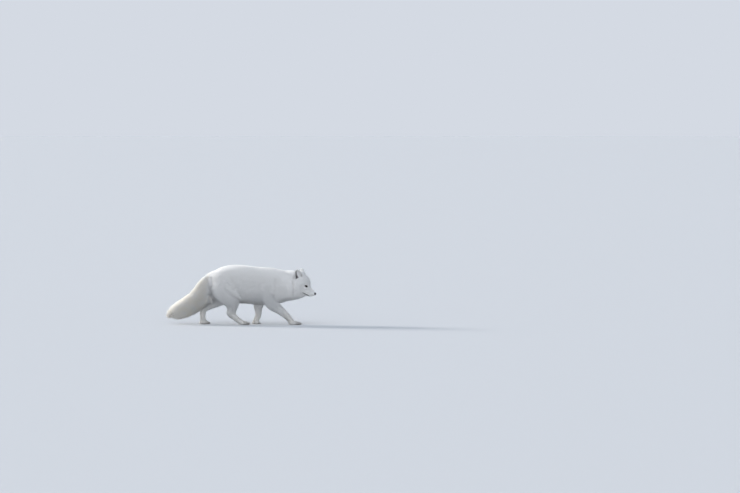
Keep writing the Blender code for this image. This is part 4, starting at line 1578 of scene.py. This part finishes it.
def nose_pad():
    form = bmesh.new()
    bmesh.ops.create_icosphere(form, subdivisions=6, radius=1.0)
    mesh = bpy.data.meshes.new("nose_pad")
    form.to_mesh(mesh)
    form.free()
    ball = places_of(mesh)
    local = ball * (NOSE_PAD - NOSE_SINK)
    local[:, 1] *= 1 - 0.16 * rise_between(-0.2, 1.0, -ball[:, 2])
    ahead = 1 - rise_between(-0.25, 0.35, ball[:, 0])
    flat = np.stack([np.abs(local[:, 1]), local[:, 2]], -1)
    to_nostril = distance_to_line(flat, NOSTRIL)
    wide = NOSTRIL_WIDTH * (1.25 - 0.45 * rise_between(0.0025, 0.0060, flat[:, 0]))
    sink = NOSTRIL_DEPTH * np.exp(-((to_nostril / wide) ** 4))
    sink -= NOSTRIL_RIM * hill(to_nostril, 0.0020, 0.0009)
    upper = ball[:, 2]
    sink += 0.0007 * (hill(local[:, 1], 0, 0.00042) * (1 - rise_between(-0.05, 0.35, upper)))
    sink += 0.0003 * hill(local[:, 1], 0, 0.0012) * rise_between(0.1, 0.6, upper)
    local -= ball * (sink * ahead)[:, None]
    move_to(mesh, from_head(local + np.array(NOSE_PLACE)))
    turn_outwards(mesh)
    mesh.materials.append(nose_material)
    pad = show("nose_pad", mesh)
    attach(pad, "root")
    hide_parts("nose")
    return pad


nose_material, tree, shader = new_material("nose_leather")
place = node(tree, "ShaderNodeTexCoord").outputs["Object"]
pebbles = node(tree, "ShaderNodeTexVoronoi", [("feature", "SMOOTH_F1")], Vector=place, Scale=1500.0)
worn = object_noise(tree, 260.0)
shine = node(tree, "ShaderNodeMapRange", Value=worn, To_Min=0.28, To_Max=0.46).outputs["Result"]
fill(tree, shader, Base_Color=colour_mix(tree, worn, LEATHER_DARK, LEATHER_LIGHT),
     Roughness=shine, Specular_IOR_Level=0.22,
     Normal=bump(tree, pebbles.outputs["Distance"], 0.6, 0.00025, invert=True))
pad = nose_pad()
print("faces of the nose pad:", len(pad.data.polygons))

# %% [markdown]
# ## Whiskers and claws
# Whiskers are stiff hairs, thick at the root and fine at the end, in rows on the upper lip and a
# few over the eyes. Claws are short curved cones of horn, half hidden in the fur of the toes.
# Each is one small form set at many places, so one tree of nodes does both: it reads at every
# point how the form is aimed and how large it is.

# %% Tree that sets a form at places
def set_forms_tree():
    tree, given = new_tree("set_forms", (("Form", "Object", None), ("Material", "Material", None)))
    form = node(tree, "GeometryNodeObjectInfo", Object=given["Form"], As_Instance=True)
    turn = node(
        tree, "FunctionNodeAxesToRotation", [("primary_axis", "X"), ("secondary_axis", "Z")],
        Primary_Axis=reads(tree, "aim", "FLOAT_VECTOR"), Secondary_Axis=reads(tree, "top", "FLOAT_VECTOR"),
    ).outputs[0]
    size = reads(tree, "size")
    size = node(tree, "ShaderNodeCombineXYZ", X=size, Y=size, Z=size).outputs[0]
    roots = node(tree, "GeometryNodeMeshToPoints", Mesh=given["Geometry"])
    placed = node(
        tree, "GeometryNodeInstanceOnPoints", Points=roots.outputs[0],
        Instance=form.outputs["Geometry"], Rotation=turn, Scale=size,
    )
    real = node(tree, "GeometryNodeRealizeInstances", Geometry=placed.outputs[0])
    end_tree(tree, real.outputs[0], given["Material"])
    return tree


set_forms = set_forms_tree()


def tapered_form(name, rings, spokes, half, bend):
    """A closed tapering rod of unit length along X. half gives its half size across and up."""
    share = np.linspace(0, 1, rings + 1)[:-1]
    turn = np.linspace(0, 2 * pi, spokes, endpoint=False)
    across, up = half(share)
    points = np.stack(np.broadcast_arrays(
        share[:, None], across[:, None] * np.cos(turn), bend(share)[:, None] + up[:, None] * np.sin(turn)
    ), -1).reshape(-1, 3)
    points = np.concatenate([points, [(0.0, 0.0, bend(0.0)), (1.0, 0.0, bend(1.0))]])
    mesh = closed_mesh(name, points, tube_faces(rings, spokes))
    keep_attribute(mesh, "along", points[:, 0])
    return bpy.data.objects.new(name, mesh)


def set_forms_at(name, form, material, rows):
    """One piece of many forms. rows hold the place, aim, top and size of each."""
    rows = np.array([[*place, *aim, *top, size] for place, aim, top, size in rows])
    holder = mesh_from("holder", rows[:, :3], np.empty((0, 3), int))
    keep_attribute(holder.data, "aim", rows[:, 3:6])
    keep_attribute(holder.data, "top", rows[:, 6:9])
    keep_attribute(holder.data, "size", rows[:, 9])
    piece = piece_from_tree(name, holder, set_forms, {"Form": form, "Material": material}, {"along"})
    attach(piece, "root")
    print("  %-10s %4d of them, %6d faces" % (name, len(rows), len(piece.data.polygons)))
    return piece


# %% Whiskers
# Rows on the upper lip: distance behind the nose and under its bridge, and length in mm.
WHISKERS = (
    (13, -9, 18), (18, -9, 26), (24, -9, 34), (30, -10, 38),
    (13, -14, 20), (18, -14.5, 30), (24, -15, 40), (31, -16, 46), (38, -17, 40),
    (15, -19, 22), (21, -20.5, 30), (28, -22, 38), (35, -24, 36),
)
BROW_WHISKERS = ((60, 19, 22), (66, 22, 26))
WHISKER_HALF = 0.0042  # half thickness at the root, in lengths
WHISKER_ROOT, WHISKER_TIP = (0.42, 0.38, 0.34, 1), (0.88, 0.86, 0.83, 1)

hair = tapered_form(
    "whisker", 9, 5,
    lambda share: (WHISKER_HALF * (1 - 0.9 * share), WHISKER_HALF * (1 - 0.9 * share)),
    lambda share: -0.16 * share**2,
)
co = places_of(skin.data)
local = to_head(co)
chance = np.random.default_rng(41)
rows = []
for side in (1, -1):
    on_side = np.flatnonzero((local[:, 1] * side > 0.004) & (np.abs(local) < 0.09).all(axis=1))
    for x, z, length in WHISKERS + BROW_WHISKERS:
        spot = np.array((x / 1000, side * 0.030, z / 1000))
        root = co[on_side[np.linalg.norm(local[on_side] - spot, axis=1).argmin()]]
        brow = z > 0
        aim = np.array((0.80, side * 0.62, 0.45 if brow else -0.18 + 0.012 * (z + 15)))
        aim = unit(aim + chance.uniform(-0.09, 0.09, 3))
        aim, top = turn_from_head(aim), turn_from_head(unit(np.array((0.25, -side * 0.35, 1.0))))
        rows.append((root - aim * 0.001, aim, top, length / 1000 * chance.uniform(0.9, 1.08)))
whisker_material, tree, shader = new_material("whisker_hair")
paling = scalar_math(tree, "POWER", attribute(tree, "along"), 0.7)
fill(tree, shader, Base_Color=colour_mix(tree, paling, WHISKER_ROOT, WHISKER_TIP), Roughness=0.42)
set_forms_at("whiskers", hair, whisker_material, rows)

# %% Claws
CLAW_LENGTH = 0.0120
CLAW_TOES = ((-1.5, 0.0100), (-0.5, 0.0), (0.5, 0.0), (1.5, 0.0100))  # pitches across, set back
CLAW_HEIGHT = 0.0072
CLAW_DIP = radians(13.0)
CLAW_SUNK = 0.0065  # a claw's root lies this far behind the tip of its toe
HORN_DARK, HORN_LIGHT = (0.045, 0.035, 0.030, 1), (0.16, 0.125, 0.10, 1)
HORN_TIP = (0.30, 0.25, 0.20, 1)

claw = tapered_form(
    "claw", 10, 10,
    lambda share: (0.105 * (1 - share) ** 0.7, 0.150 * (1 - share) ** 0.8),
    lambda share: -0.26 * share**2,
)
rows = []
for paw in PAW_NODES:
    middle, foremost, pitch = toe_pitch(paw)
    for across, setback in CLAW_TOES:
        root = (foremost - setback - CLAW_SUNK, middle + across * pitch, CLAW_HEIGHT)
        aim = unit((cos(CLAW_DIP), 0.05 * across, -sin(CLAW_DIP)))
        rows.append((root, aim, (0, 0, 1), CLAW_LENGTH))
claw_material, tree, shader = new_material("claw_horn")
place = node(tree, "ShaderNodeTexCoord").outputs["Object"]
place = vector_math(tree, "MULTIPLY", place, (90.0, 1400.0, 1400.0))
lines = node(tree, "ShaderNodeTexNoise", Vector=place, Scale=1.0, Detail=3.0).outputs["Fac"]
horn = colour_mix(tree, lines, HORN_DARK, HORN_LIGHT)
horn = colour_mix(tree, scalar_math(tree, "POWER", attribute(tree, "along"), 2.5), horn, HORN_TIP)
fill(tree, shader, Base_Color=horn, Roughness=0.38, Normal=bump(tree, lines, 0.3, 0.0002))
set_forms_at("claws", claw, claw_material, rows)

# %% [markdown]
# ## Floor, light and camera
# A wide pale floor. A low soft sun comes from behind and to the left and edges the coat with
# light, and a cool fill comes from the whole sky in front. Close over the horizon the sky takes
# the tone of the far floor, so that no line parts the two. The camera is far off with a long
# lens, so the fox is seen almost without perspective.

# %% Floor
FLOOR_HALF = 60.0
FLOOR_PALE = (0.56, 0.57, 0.585, 1)

corners = FLOOR_HALF * np.array(((-1, -1, 0), (1, -1, 0), (1, 1, 0), (-1, 1, 0)))
floor = mesh_from("floor", corners, np.array([(0, 1, 2, 3)]))
floor_material, tree, shader = new_material("pale_floor")
fill(tree, shader, Base_Color=FLOOR_PALE, Roughness=0.9)
floor.data.materials.append(floor_material)

# %% Sky
HAZE = (0.66, 0.70, 0.77, 1)
HORIZON = (1.26, 1.28, 1.31, 1)
ZENITH = (0.30, 0.36, 0.45, 1)

world = bpy.data.worlds.new("studio")
bpy.context.scene.world = world
world.use_nodes = True
tree = world.node_tree
sky_place = node(tree, "ShaderNodeTexCoord").outputs["Generated"]
height = node(tree, "ShaderNodeSeparateXYZ", Vector=sky_place).outputs["Z"]
sky = colour_mix(tree, rise_nodes(tree, height, 0.02, 0.30), HORIZON, ZENITH)
sky = colour_mix(tree, rise_nodes(tree, height, 0.018, 0.040), HAZE, sky)
fill(tree, tree.nodes["Background"], Color=sky, Strength=1.0)


# %% Light
def soft_sun(name, energy, angle, colour, source):
    """Light from a wide stretch of sky, from the side where source points."""
    data = bpy.data.lights.new(name, "SUN")
    data.energy = energy
    data.angle = radians(angle)
    data.color = colour
    show(name, data).rotation_euler = Vector(source).to_track_quat("Z", "Y").to_euler()


soft_sun("soft_key", 3.6, 14.0, (1.0, 0.965, 0.92), (-1.0, 0.45, 0.35))
soft_sun("wide_fill", 4.4, 170.0, (0.94, 0.965, 1.0), (-0.4, -1.0, -0.3))

# %% Camera
LENS = 200.0
SENSOR = 36.0
DISTANCE = 22.2
ELEVATION = radians(2.5)
FRAME_MIDDLE = Vector((0.694, 0.0, 0.4215))
camera_data = bpy.data.cameras.new("camera")
camera_data.lens = LENS
camera_data.sensor_width = SENSOR
camera_data.clip_end = 300.0
camera = show("camera", camera_data)
away = Vector((0, -cos(ELEVATION), sin(ELEVATION)))
camera.location = FRAME_MIDDLE + away * DISTANCE
camera.rotation_euler = (-away).to_track_quat("-Z", "Y").to_euler()
bpy.context.scene.camera = camera
bpy.context.scene.view_settings.view_transform = "Standard"
